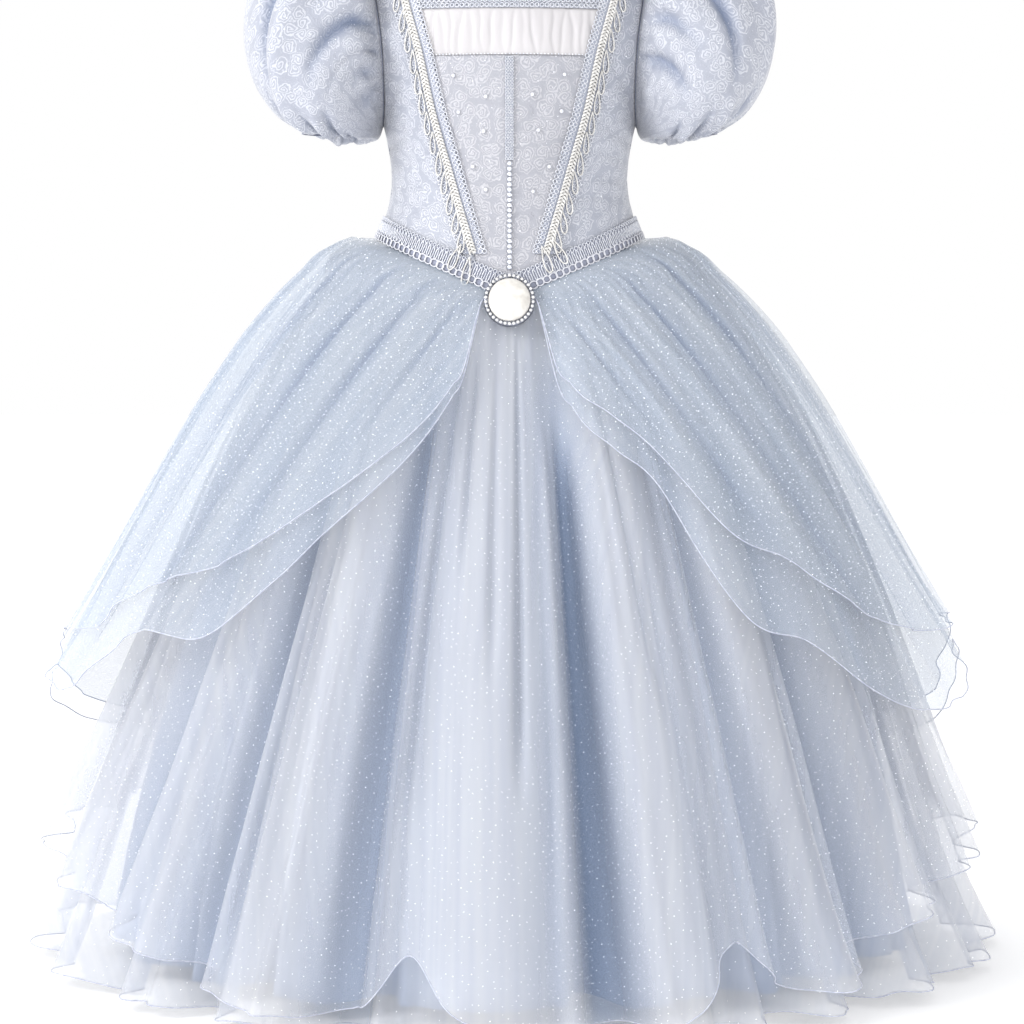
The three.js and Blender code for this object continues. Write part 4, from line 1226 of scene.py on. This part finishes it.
# Side fronts: scroll brocade from the waist seam to the shoulder seam, cut round the armhole. They are
# sewn to the centre front under the lace, and drag a little from the bust and at the waist.
SHOULDER = -0.2
SHOULDER_GAP = 1.2
SHOULDER_CROWD = 1.25
ARMHOLE_FOOT = -184
SIDE_SEAM_HALF = 0.3
ARMHOLE = table("z x", [
    (-184, 112.5), (-175, 111.2), (-158, 110.5), (-110, 112), (-68, 118), (-30, 123), (0, 125),
])
FRONT_DRAGS = table("x z long wide deep lean bend", [
    (-92, -196, 24, 4.5, -1.5, 24, 2),
    (-84, -214, 22, 4.0, -1.2, 12, 3),
    (-88, -238, 20, 3.6, -1.6, 6, 2),
    (-80, -252, 24, 3.4, -1.2, -8, 1),
    (-84, -268, 22, 4.2, 1.1, -16, 2),
    (-62, -284, 20, 3.8, -1.3, -40, 2),
    (-99, -150, 22, 5.0, -1.2, 62, 2),
    (94, -191, 23, 4.4, -1.4, -28, 2),
    (82, -208, 24, 4.2, -1.3, -14, 3),
    (90, -231, 19, 3.5, -1.5, -5, 2),
    (78, -247, 25, 3.6, -1.3, 5, 1),
    (87, -263, 21, 4.0, 1.2, 18, 2),
    (60, -281, 21, 3.9, -1.2, 43, 2),
    (98, -144, 21, 5.0, -1.3, -60, 2),
])
armhole_x = reader(ARMHOLE, "z", "x")


def armhole_turn(z):
    """The side edge of the fronts: the armhole, and below it the side seam."""
    seam = math.pi / 2 - SIDE_SEAM_HALF / torso["side"](z)
    return np.where(z <= ARMHOLE_FOOT, seam, np.minimum(turn_at(armhole_x(z), z), seam))


def closed_at_shoulder(points, side):
    points[0, :, 1] = side * SHOULDER_GAP / 2
    return points


def mirrored(points):
    return points[:, ::-1] * np.array([-1, 1, 1])


side_points = panel(SHOULDER, None, 104, 36, seam_edge(1, SEAM_HALF), armhole_turn, SHOULDER_CROWD)
side_points = closed_at_shoulder(side_points, -1)
for side, points in (("right", side_points), ("left", mirrored(side_points))):
    dragged = puckered(points, FRONT_DRAGS)
    piece = cloth("side_front_" + side + "_brocade", dragged, brocade, thickness=SATIN)
    fitted(piece, "brocade", "side_front_" + side)

# Backs: the same brocade, hidden in the photo and so finished plainly, with a straight centre closure.
# The underlap behind them is the strip that the hook-and-loop tape is sewn to.
LAP = {"top": -67, "foot": -282, "half_turn": math.radians(8), "depth": 2.3}
BACK_NECK = table("z x", [
    (-64, 0.4), (-60, 22), (-50, 48), (-35, 68), (-15, 76), (0, 78),
])
BACK_DRAGS = table("x z long wide deep lean bend", [
    (-70, -206, 34, 5.0, -1.4, 10, 3),
    (-62, -236, 40, 4.4, -1.3, -4, 2),
    (-74, -262, 30, 4.6, -1.2, -14, 2),
    (-38, -150, 40, 7.0, -1.1, 74, 3),
    (66, -200, 36, 5.2, -1.3, -8, 3),
    (72, -228, 32, 4.2, -1.4, 3, 2),
    (60, -256, 34, 4.8, -1.2, 12, 2),
    (42, -144, 42, 7.0, -1.2, -70, 3),
])
back_neck = reader(BACK_NECK, "z", "x")


def back_armhole(z):
    return math.pi - armhole_turn(z)


def neck_edge(z):
    return math.pi - turn_at(back_neck(z), z)


back_points = panel(SHOULDER, WAIST_SIDE, 84, 36, back_armhole, neck_edge, SHOULDER_CROWD)
back_points = closed_at_shoulder(back_points, 1)
for side, points in (("right", back_points), ("left", mirrored(back_points))):
    piece = cloth("back_" + side + "_brocade", puckered(points, BACK_DRAGS), brocade, thickness=SATIN)
    fitted(piece, "brocade", "back_" + side)
lap_edges = (lambda z: math.pi - LAP["half_turn"] + 0 * z, lambda z: math.pi + LAP["half_turn"] + 0 * z)
lap_grid = panel(LAP["top"], LAP["foot"], 40, 10, *lap_edges)
lap_points = lap_grid - outward(lap_grid) * LAP["depth"]
underlap = cloth("back_underlap_brocade", lap_points, brocade, thickness=SATIN)
fitted(underlap, "brocade", "back_underlap")

# Sleeves: short puffs of the brocade, pleated into the armhole and gathered into the cuff. Big ridges
# sweep from the armhole's front down to the cuff, and differ from one sleeve to the other.
SLEEVE_RINGS = table("topX topZ footX footZ deep sag", [
    (138, 6, 114.2, -187, 70, 0),
    (165, 9, 114.8, -189, 80, 2),
    (200, -12, 115.4, -190.5, 85, 4),
    (228, -52, 116, -191.5, 88, 6),
    (237, -98, 116.6, -192.5, 85, 8),
    (230, -140, 117.4, -193.5, 77, 9),
    (213, -168, 119, -194.5, 66, 9),
    (192, -183, 121.5, -192.5, 52, 7),
    (186.5, -178.5, 125.5, -178.5, 33.5, 0),
])
LAST_RING = 9
ARMHOLE_GAP = 0.9
# The thickness of the cord of painted shadow along the armhole seam.
SEAM_SHADOW_CORD = 0.9
SLEEVE_COLUMNS = 216
SLEEVE_ROWS = 54
# Ridges and troughs of a sleeve: the angle round it where each starts and ends (0 is the top, 270 the
# front), the rings between which it runs, its half width in degrees and its height in millimetres.
RIGHT_FOLDS = table("from to start end wide high", [
    (350, 338, 0.1, 3.4, 5.5, -4.6),
    (337, 320, 0.3, 6.2, 9.0, 5.6),
    (321, 306, 0.1, 4.2, 4.6, -5.6),
    (306, 297, 0.2, 2.8, 5.0, 3.6),
    (296, 286, 0.1, 5.6, 4.2, -5.8),
    (281, 274, 0.4, 3.4, 7.5, 4.6),
    (268, 268, 0.1, 3.6, 3.8, -5.0),
    (256, 262, 0.2, 2.6, 5.0, 3.4),
    (244, 252, 0.1, 4.6, 4.0, -4.4),
    (226, 236, 0.3, 3.2, 6.0, 2.8),
    (318, 322, 5.2, 8.6, 6.5, -3.4),
    (300, 298, 5.8, 8.8, 4.0, -3.8),
    (287, 290, 5.0, 8.6, 8.0, 3.6),
    (273, 270, 5.6, 8.8, 3.6, -4.0),
    (255, 257, 6.0, 8.8, 5.5, 3.0),
    (240, 243, 5.4, 8.6, 3.4, -3.6),
    (10, 20, 0.2, 4.4, 5.0, -4.4),
    (30, 44, 0.3, 5.6, 8.0, 4.8),
    (52, 60, 0.1, 3.6, 4.4, -5.0),
    (78, 84, 0.2, 5.2, 6.0, 3.8),
    (98, 100, 0.1, 4.4, 4.0, -4.6),
    (60, 62, 5.4, 8.6, 5.0, -3.6),
    (88, 86, 5.8, 8.8, 4.4, -3.4),
    (118, 116, 5.2, 8.6, 5.4, -3.2),
])
LEFT_FOLDS = table("from to start end wide high", [
    (346, 334, 0.1, 4.0, 5.0, -4.8),
    (333, 318, 0.2, 3.2, 6.0, 4.2),
    (320, 300, 0.1, 6.0, 5.2, -6.0),
    (303, 288, 0.4, 6.8, 9.5, 5.8),
    (290, 280, 0.1, 3.4, 4.0, -5.4),
    (278, 274, 0.2, 2.6, 5.0, 3.6),
    (266, 270, 0.1, 4.8, 4.2, -5.4),
    (252, 258, 0.3, 3.6, 6.5, 3.8),
    (238, 246, 0.1, 3.0, 4.0, -4.4),
    (222, 230, 0.2, 4.2, 5.0, -3.2),
    (314, 318, 5.6, 8.8, 4.2, -3.8),
    (296, 300, 5.2, 8.6, 7.5, 3.4),
    (283, 281, 5.8, 8.8, 3.8, -4.2),
    (268, 266, 5.4, 8.6, 6.0, 3.2),
    (252, 254, 5.0, 8.8, 3.6, -3.8),
    (236, 238, 6.0, 8.8, 4.4, -3.0),
    (14, 26, 0.2, 5.4, 7.5, 4.8),
    (36, 46, 0.1, 3.8, 4.6, -4.8),
    (62, 68, 0.2, 4.6, 6.0, 4.0),
    (84, 88, 0.1, 4.4, 4.2, -4.8),
    (108, 110, 0.2, 3.8, 5.0, -3.8),
    (52, 54, 5.6, 8.6, 4.6, -3.4),
    (80, 78, 5.2, 8.8, 5.0, -3.6),
    (112, 110, 5.8, 8.6, 4.4, -3.0),
])
SLEEVE_FULLNESS = 1.35
# The trough depth at which the sleeves' painted shade is full.
SLEEVE_FULLY_SHADED_FOLD = 9
HEAD_PLEATS = {"count": 34, "wide": 1.7, "high": 4.0, "ends": 2.6}
CUFF_GATHERS = {"count": 40, "wide": 2.3, "high": 2.6, "starts": 5.6}


def sleeve_grid(columns, rows):
    """A smooth grid through the armhole seam and the rings of the sleeve, with each row's ring."""
    angles = np.linspace(0, 2 * math.pi, columns, endpoint=False)
    z = np.clip(ARMHOLE_FOOT / 2 * (1 - np.cos(angles)), ARMHOLE_FOOT, SHOULDER)
    edge_turn = np.where(np.sin(angles) > 0, math.pi - armhole_turn(z), armhole_turn(z))
    rings = [torso_points(edge_turn, z) + np.array([ARMHOLE_GAP, 0, 0])]
    for ring in SLEEVE_RINGS:
        rise = np.cos(angles)
        x = (ring["topX"] + ring["footX"]) / 2 + (ring["topX"] - ring["footX"]) / 2 * rise
        height = (ring["topZ"] + ring["footZ"]) / 2 + (ring["topZ"] - ring["footZ"]) / 2 * rise
        height = height - ring["sag"] * np.sin(angles) ** 2
        rings.append(np.stack([x, ring["deep"] * np.sin(angles), height], axis=-1))
    rings = np.array(rings)
    at = np.linspace(0, len(rings) - 1, rows)
    k = np.minimum(at.astype(int), len(rings) - 2)
    t = (at - k)[:, None, None]
    ends = np.concatenate([[2 * rings[0] - rings[1]], rings, [2 * rings[-1] - rings[-2]]])
    before, start, end, after = ends[k], ends[k + 1], ends[k + 2], ends[k + 3]
    square = 2 * before - 5 * start + 4 * end - after
    cube = 3 * start - before - 3 * end + after
    return start + 0.5 * ((end - before) * t + square * t ** 2 + cube * t ** 3), at[:, None]


def sleeve_folds(ring, folds, seed):
    """How far the cloth of a sleeve stands out or in, by its ring and the angle round it."""
    degrees = np.linspace(0, 360, SLEEVE_COLUMNS, endpoint=False)[None, :]
    height = np.zeros((len(ring), SLEEVE_COLUMNS))
    for fold in folds:
        middle = fold["from"] + (fold["to"] - fold["from"]) * ring / LAST_RING
        along = smooth(fold["start"], fold["start"] + 1.6, ring)
        along = along * (1 - smooth(fold["end"] - 2, fold["end"] + 0.6, ring))
        height += fold["high"] * along * bell(turned_by(degrees, middle), fold["wide"])
    random = np.random.default_rng(seed)
    for sizes in (HEAD_PLEATS, CUFF_GATHERS):
        for middle in uneven_turns(random, sizes["count"]):
            reach = random.uniform(0.5, 1.2)
            if "ends" in sizes:
                along = smooth(0, 0.35, ring) * bell(ring, sizes["ends"] * reach)
            else:
                along = smooth(LAST_RING - (LAST_RING - sizes["starts"]) * reach, 7.6, ring)
                along = along * (1 - 0.8 * smooth(8.3, LAST_RING, ring))
            wave = bell(turned_by(degrees, middle), sizes["wide"])
            height += sizes["high"] * random.uniform(-1.0, 0.7) * along * wave
    underarm = ((1 - np.cos(np.radians(degrees))) / 2) ** 6
    return height * (1 - 0.9 * underarm)


sleeve_base, ring_at = sleeve_grid(SLEEVE_COLUMNS, SLEEVE_ROWS)
sleeve_out = outward(sleeve_base, True)
# A dark cord along the armhole seam is a painted shadow: it stands for the shade in the seam's gap.
seam_shadow = toned("armhole_seam_shadow", (0.46, 0.49, 0.58), (0.56, 0.59, 0.68), 0.6, 500)
for side, folds, seed in (("right", RIGHT_FOLDS, 31), ("left", LEFT_FOLDS, 32)):
    height = SLEEVE_FULLNESS * sleeve_folds(ring_at, folds, seed)
    points = sleeve_base + sleeve_out * height[..., None]
    # Painted shade: the sleeve darkens where its troughs go in.
    fold_shade_share = -height / SLEEVE_FULLY_SHADED_FOLD
    if side == "left":
        points = mirrored(points)
        fold_shade_share = fold_shade_share[:, ::-1]
    piece = cloth("sleeve_" + side + "_brocade", points, brocade, True, SATIN, fold_shade_share)
    seam_shadow_cord = grown("sleeve_" + side + "_stitching", line_mesh(side, points[0], True), rolled_edge,
                      Thickness=SEAM_SHADOW_CORD * MM, Finish=seam_shadow)
    fitted(piece, "brocade", "sleeve_" + side)
    fitted(seam_shadow_cord, "brocade")

# Cuffs: narrow silver bands inside the sleeves' lower edges, which the puffs are gathered into.
CUFF = {"x": 156, "top": -177, "foot": -190, "half_width": 30, "half_depth": 33, "wall": 1.5}
cuff_turns = np.linspace(0, 2 * math.pi, 72, endpoint=False)[None, :]
cuff_levels = np.linspace(CUFF["top"], CUFF["foot"], 6)[:, None]
cuff_x = CUFF["x"] + CUFF["half_width"] * np.sin(cuff_turns)
cuff_y = -CUFF["half_depth"] * np.cos(cuff_turns)
cuff_points = np.stack(np.broadcast_arrays(cuff_x, cuff_y, cuff_levels), axis=-1)
band_satin = satin_finish("cuff_satin", (0.50, 0.52, 0.60), (0.60, 0.62, 0.70), 0.5)
for side, points in (("right", cuff_points), ("left", mirrored(cuff_points))):
    cuff = cloth("cuff_" + side + "_band", points, band_satin, True, CUFF["wall"])
    fitted(cuff, "silver_braid", "cuff_" + side)

# Waist trim: a silver braid of upright loops on a narrow base, sewn over the pointed waist seam, with
# a row of small rings above the loops and pale picots below them.
WAIST_TRIM = {"foot": 0.3, "height": 20, "offset": 0.3, "wall": 1.2}
# The rows of thread loops round the waist: the shape of one loop with the sides of its path and of its
# thread, its spacing, where the row lies, how unlike its loops are, and the seed of their sizes.
WAIST_ROWS = table("name width height cord corners sides pitch level out unlike seed", [
    ("waist_loops", 3.5, 11.5, 1.15, 14, 5, 4.3, 11.6, 2.2, 0.05, 41),
    ("waist_rings", 4.2, 4.2, 1.05, 10, 4, 4.3, 18.6, 2.1, 0.08, 42),
    ("waist_picots", 8.6, 7.6, 1.3, 14, 4, 6.4, 3.2, 2.6, 0.08, 43),
])
TRIM_END = math.pi - 0.02


def round_waist(above, out, pitch=None, count=1500):
    """A line round the waist at a height above the seam, or evenly spaced places along it."""
    turns = np.linspace(-TRIM_END, TRIM_END, count)
    levels = waist_level(turns) + WAIST_TRIM["foot"] + above
    if pitch:
        return row_on_torso(turns, levels, out, pitch)
    return on_torso(turns, levels, out)[0]


def upright(places):
    """Turns the places so that the motifs stand along the upright direction of the cloth."""
    points, out, along = places
    return [points, out, np.cross(out, along)]


trim_rows = [round_waist(above, WAIST_TRIM["offset"] + WAIST_TRIM["wall"], count=420)
             for above in np.linspace(WAIST_TRIM["height"], 0, 7)]
waist_satin = satin_finish("waist_braid_satin", (0.55, 0.57, 0.65), (0.66, 0.675, 0.75), 0.5)
waist_base = cloth("waist_braid_base", np.array(trim_rows), waist_satin, thickness=WAIST_TRIM["wall"])
picot_thread = toned("picot_thread", (0.84, 0.845, 0.89), (0.95, 0.955, 0.975), 0.5, 700)
waist_pieces = []
for row in WAIST_ROWS:
    places = round_waist(row["level"], row["out"], row["pitch"])
    if row["width"] != row["height"]:
        places = upright(places)
    path = oval_path(row["width"], row["height"], row["cord"], row["corners"])
    thread = picot_thread if row["name"] == "waist_picots" else braid_thread
    motif = cord_mesh(path, row["cord"], row["sides"])
    waist_pieces.append(set_on(row["name"], places, motif, thread, row["unlike"], row["seed"]))
fitted(waist_base, "silver_braid", "waist_trim")
for piece in waist_pieces:
    fitted(piece, "silver_braid")

# Laces: strips of ring lace over the slanting seams, from the waist trim over the shoulders. Rings of
# silver-blue thread lie in rows on a narrow net on both sides of the cream cord.
NET_HALF = 9.6
LACE_TOP = -3
LACE_FOOT = -298
LACE_OUT = 1.5
LACE_NET = 1.2
LACE_RING_ROWS = (-10.2, -6.6, 7.2, 10.9)
LACE_LINE = table("z x", [
    (-330, 20), (-304, 29), (-263, 41.5), (-217, 54), (-178, 65), (-123, 77.5), (-68, 92),
    (-50, 95), (-25, 93.5), (0, 92),
])
lace_line = reader(LACE_LINE, "z", "x")


def down_front(offset, top, foot, count=700):
    """A fine line down the bodice at a distance to the side of the lace's middle line."""
    z = np.linspace(top, foot, count)
    return turn_at(lace_line(z) + offset, z), z


net_satin = satin_finish("lace_net", (0.62, 0.645, 0.72), (0.73, 0.75, 0.81), 0.5)
lace_offsets = np.linspace(-NET_HALF, NET_HALF, 9)[None, :]
lace_z = SHOULDER + (LACE_FOOT - SHOULDER) * np.linspace(0, 1, 130)[:, None] ** SHOULDER_CROWD
lace_turns = turn_at(lace_line(lace_z) + lace_offsets, lace_z)
lace_points = torso_points(lace_turns, lace_z + 0 * lace_turns)
lace_points = closed_at_shoulder(lace_points + outward(lace_points) * LACE_OUT, -1)
lace_places = joined([row_on_torso(*down_front(offset, LACE_TOP, LACE_FOOT), LACE_OUT + 0.4, RING_ACROSS)
                      for offset in LACE_RING_ROWS])
flip = np.array([-1, 1, 1])
for side in ("right", "left"):
    hand = 1 if side == "right" else flip
    points = lace_points if side == "right" else mirrored(lace_points)
    net = cloth("lace_" + side + "_net", points, net_satin, thickness=LACE_NET)
    rings = set_on("lace_" + side + "_rings", [grid * hand for grid in lace_places],
                   cord_mesh(ring_motif, RING_CORD), braid_thread, 0.1, 51 if side == "right" else 52)
    fitted(net, "silver_braid", "lace_" + side)
    fitted(rings, "silver_braid")

# Cream braids: a plaited cord of three strands down the middle of each lace, with thin teardrop loops
# of the same thread caught in its outer side and a few bigger loops near its foot.
PLAIT = {"pitch": 9.5, "half_width": 2.8, "half_height": 0.9, "strand": 2.0, "out": 3.0}
TEARDROP = {"width": 6.2, "length": 20, "cord": 1.3, "out": 3.4, "beside": 6.6, "tilt": 0.05}
END_LOOP = {"width": 7.5, "length": 24, "cord": 1.3, "further": 0.8}
TEARDROP_LEVELS = (-78, -96, -113, -131, -149, -166, -184, -201, -219, -236, -254, -271, -287)
LONG_LOOPS = table("x z tilt", [
    (-46, -301, -0.5),
    (-36, -313, -0.2),
    (31, -303, 0.35),
    (42, -296, 0.6),
])
cream_thread = toned("cream_thread", (0.80, 0.79, 0.775), (0.95, 0.945, 0.935), 0.5, 420)


def plait_strand(side, share):
    """One strand of the plait on the right or left, as a fine line of points."""
    turns, z = down_front(0, LACE_TOP, LACE_FOOT, 420)
    line, normal = on_torso(turns, z, PLAIT["out"])
    along = np.gradient(line, axis=0)
    reach = np.cumsum(np.linalg.norm(along, axis=1))
    across = np.cross(normal, along)
    across /= np.linalg.norm(across, axis=1, keepdims=True)
    swing = reach / PLAIT["pitch"] * 2 * math.pi + share * 2 * math.pi
    over = across * (PLAIT["half_width"] * np.sin(swing))[:, None]
    rise = normal * (PLAIT["half_height"] * np.sin(2 * swing))[:, None]
    return (line + over + rise) * (1 if side > 0 else flip)


def teardrop_path(width, length):
    angles = np.linspace(0, 2 * math.pi, 16, endpoint=False)
    across = np.sin(angles) * np.sin(angles / 2) ** 1.3 * width * 0.62
    return np.stack([across, np.cos(angles) * length / 2], axis=1)


def hung_at(x, z, tilt, out):
    """Places for loops whose upper ends point up, each leaning to the side by a tilt."""
    points, normal = on_torso(turn_at(x, z), z, out)
    up = np.stack([-np.asarray(tilt) + 0 * x, 0 * x, np.ones(len(x))], axis=-1)
    return [points, normal, up]


for side, sign in (("right", 1), ("left", -1)):
    strands = [grown("strand", line_mesh("strand", plait_strand(sign, share / 3)), rolled_edge,
                     Thickness=PLAIT["strand"] * MM, Finish=cream_thread) for share in range(3)]
    cord = strands[0]
    cord.name = "cream_braid_" + side + "_plait"
    with bpy.context.temp_override(active_object=cord, selected_editable_objects=strands):
        bpy.ops.object.join()
    levels = np.array(TEARDROP_LEVELS, float)
    beside = sign * (lace_line(levels) + TEARDROP["beside"])
    hung = hung_at(beside, levels, sign * TEARDROP["tilt"] + 0 * levels, TEARDROP["out"])
    teardrop = cord_mesh(teardrop_path(TEARDROP["width"], TEARDROP["length"]), TEARDROP["cord"])
    drops = set_on("cream_braid_" + side + "_loops", hung, teardrop, cream_thread, 0.08, 61)
    ends = [loop for loop in LONG_LOOPS if loop["x"] * sign > 0]
    spots = [np.array([loop[key] for loop in ends], float) for key in ("x", "z", "tilt")]
    end_loop = cord_mesh(teardrop_path(END_LOOP["width"], END_LOOP["length"]), END_LOOP["cord"])
    end_places = hung_at(*spots, TEARDROP["out"] + END_LOOP["further"])
    longer = set_on("cream_braid_" + side + "_end_loops", end_places, end_loop, cream_thread, 0.05, 62)
    fitted(cord, "cream_cord", "cream_braid_" + side)
    fitted(drops, "cream_cord")
    fitted(longer, "cream_cord")

# Centre braid: a narrow silver mesh braid down the upper centre front, three rows of tiny rings wide.
MIDDLE = {"half": 3.5, "top": -128, "foot": -217, "ring": 2.9, "cord": 0.8, "out": 2.0, "base": 1.5}
MIDDLE_ROWS = (-2.3, 0, 2.3)
middle_x = np.linspace(-MIDDLE["half"], MIDDLE["half"], 5)[None, :]
middle_z = np.linspace(MIDDLE["top"], MIDDLE["foot"], 60)[:, None]
middle_points = torso_points(turn_at(middle_x, middle_z), middle_z + np.zeros(5))
middle_points = middle_points + outward(middle_points) * MIDDLE["base"]
middle_base = cloth("centre_braid_base", middle_points, net_satin, thickness=LACE_NET)
middle_line = np.linspace(MIDDLE["top"], MIDDLE["foot"], 400)
middle_places = joined([row_on_torso(turn_at(x, middle_line), middle_line, MIDDLE["out"], MIDDLE["ring"])
                        for x in MIDDLE_ROWS])
mesh_ring = cord_mesh(oval_path(MIDDLE["ring"], MIDDLE["ring"], MIDDLE["cord"], 8), MIDDLE["cord"], 4)
middle_rings = set_on("centre_braid_rings", middle_places, mesh_ring, braid_thread, 0.1, 71)
fitted(middle_base, "silver_braid", "centre_braid")
fitted(middle_rings, "silver_braid")

# Rhinestone chain: cut stones in silver cups, linked in a row and stitched down the lower centre front.
CUP = [(0.8, -1.0), (1, -0.6), (1, 0.75), (0.9, 1.0), (0.72, 0.8)]
STONE = [(0.9, 0.2), (1, 0.7), (0.85, 1.2), (0.5, 1.6)]
CHAIN = {"top": -217.5, "foot": -312, "pitch": 4.6, "cup": 4.6, "stone": 3.9, "out": 1.4}
silver_finish = toned("cup_silver", (0.62, 0.63, 0.67), (0.82, 0.83, 0.87), 0.3, 600, Metallic=1.0)
stone_finish = toned("cut_crystal", (0.84, 0.88, 0.95), (1.0, 1.0, 1.0), 0.05, 900, Coat_Weight=0.8)


def lathed(name, profile, segments, smoothed):
    """A solid turned round its own axis from radii and heights in millimetres."""
    mesh = bpy.data.meshes.new(name)
    angles = np.linspace(0, 2 * math.pi, segments, endpoint=False)
    points = [(r * math.cos(a), r * math.sin(a), h) for r, h in profile for a in angles]
    faces = []
    for k in range(len(profile) - 1):
        for n in range(segments):
            corner = [(k, n), (k, (n + 1) % segments), (k + 1, (n + 1) % segments), (k + 1, n)]
            faces.append([a * segments + b for a, b in corner])
    faces.append([n for n in reversed(range(segments))])
    faces.append([(len(profile) - 1) * segments + n for n in range(segments)])
    mesh.from_pydata((np.array(points) * MM).tolist(), [], faces)
    if smoothed:
        mesh.shade_smooth()
    return mesh


chain_line = np.linspace(CHAIN["top"], CHAIN["foot"], 400)
chain_places = row_on_torso(0 * chain_line, chain_line, CHAIN["out"], CHAIN["pitch"])
cup = lathed("cup", [(CHAIN["cup"] / 2 * share, height) for share, height in CUP], 10, False)
stone = lathed("stone", [(CHAIN["stone"] / 2 * share, height) for share, height in STONE], 8, False)
cups = set_on("chain_cups", chain_places, cup, silver_finish, 0.0, 81)
stones = set_on("chain_stones", chain_places, stone, stone_finish, 0.03, 82)
fitted(cups, "silver", "rhinestone_chain")
fitted(stones, "crystal")

# Bodice beads: twelve small beads sewn one by one on the centre front.
BEAD_ACROSS = 3.6
BEADS = table("x z", [
    (-48.2, -144.2), (-20.4, -162.5), (-43.9, -175.5), (-22.2, -192), (-31.7, -222.4),
    (-20.4, -242.4), (47.4, -143.3), (19.6, -160.7), (44.8, -174.6), (24.8, -191.1), (34.3, -222.4),
    (20.4, -244.1),
])
bead_x = np.array([bead["x"] for bead in BEADS], float)
bead_z = np.array([bead["z"] for bead in BEADS], float)
bead_places = hung_at(bead_x, bead_z, 0 * bead_x, 1.1)
beads = set_on("bodice_beads", bead_places, bead_mesh(BEAD_ACROSS, 3.0), bead_finish, 0.06, 91)
fitted(beads, "crystal")

# Brooch: an oval silver casting with a beaded rim and a roped inner edge, holding a pearl cabochon. It
# is pinned over the point of the waist, and leans back with the cloth below it.
BROOCH = {"y": -108.8, "z": -339, "tilt": math.radians(22), "half_width": 22, "half_height": 24}
SETTING = [
    (0.94, 0), (1.0, 0.8), (1.0, 3.4), (0.97, 4.2), (0.93, 4.5), (0.87, 4.2), (0.85, 3.7), (0.85, 2.2),
]
RIM_BEADS = {"count": 34, "at": 0.93, "across": 2.9, "height": 4.4}
ROPE = {"count": 56, "at": 0.855, "across": 1.9, "height": 4.0}
CABOCHON = {"share": 0.83, "seat": 2.5, "edge": 1.2, "rise": 9}
brooch_out = np.array([0, -math.cos(BROOCH["tilt"]), math.sin(BROOCH["tilt"])])
brooch_up = np.array([0, math.sin(BROOCH["tilt"]), math.cos(BROOCH["tilt"])])
brooch_centre = np.array([0, BROOCH["y"], BROOCH["z"]])


def on_brooch(across, up, height):
    """A point of the brooch from its own oval shares and its height over the base."""
    flat = np.multiply.outer(across * BROOCH["half_width"], np.array([1.0, 0, 0]))
    raised = np.multiply.outer(up * BROOCH["half_height"], brooch_up)
    return brooch_centre + flat + raised + height * brooch_out


def brooch_ring(sizes):
    angles = np.linspace(0, 2 * math.pi, sizes["count"], endpoint=False)
    points = on_brooch(sizes["at"] * np.sin(angles), sizes["at"] * np.cos(angles), sizes["height"])
    along = np.roll(points, -1, axis=0) - np.roll(points, 1, axis=0)
    return [points, np.broadcast_to(brooch_out, points.shape), along]


def brooch_solid(name, profile, finish):
    """A piece of the brooch from a profile of radius shares and heights."""
    mesh = lathed(name, [(radius * 1000, height * 1000) for radius, height in profile], 72, True)
    for vert in mesh.vertices:
        vert.co = on_brooch(vert.co.x, vert.co.y, vert.co.z) * MM
    mesh.materials.append(finish)
    return add_object(name, mesh)


dark_silver = toned("dark_silver", (0.36, 0.37, 0.40), (0.62, 0.63, 0.67), 0.32, 260, Metallic=1.0)
pearl_finish = toned("pearl", (0.855, 0.84, 0.815), (0.95, 0.94, 0.92), 0.16, 120,
                     Coat_Weight=0.7, Coat_Roughness=0.1)
rim_pearl = toned("rim_beads", (0.86, 0.86, 0.87), (0.97, 0.97, 0.97), 0.2, 500)
cabochon_profile = [(CABOCHON["share"], CABOCHON["seat"])]
for a in np.linspace(0, math.pi / 2, 14)[:-1]:
    height = CABOCHON["edge"] + (CABOCHON["rise"] - CABOCHON["edge"]) * math.sin(a)
    cabochon_profile.append((CABOCHON["share"] * math.cos(a), CABOCHON["seat"] + height))
cabochon_profile.append((0.01, CABOCHON["seat"] + CABOCHON["rise"]))
setting = brooch_solid("brooch_casting", SETTING, dark_silver)
cabochon = brooch_solid("brooch_pearl", cabochon_profile, pearl_finish)
rim_bead = bead_mesh(RIM_BEADS["across"])
rim_beads = set_on("brooch_rim_beads", brooch_ring(RIM_BEADS), rim_bead, rim_pearl, 0.03, 95)
rope = set_on("brooch_rope", brooch_ring(ROPE), bead_mesh(ROPE["across"]), dark_silver, 0.05, 96)
fitted(setting, "silver", "brooch_setting")
fitted(cabochon, "pearl", "brooch_cabochon")
fitted(rim_beads, "pearl")
fitted(rope, "silver")
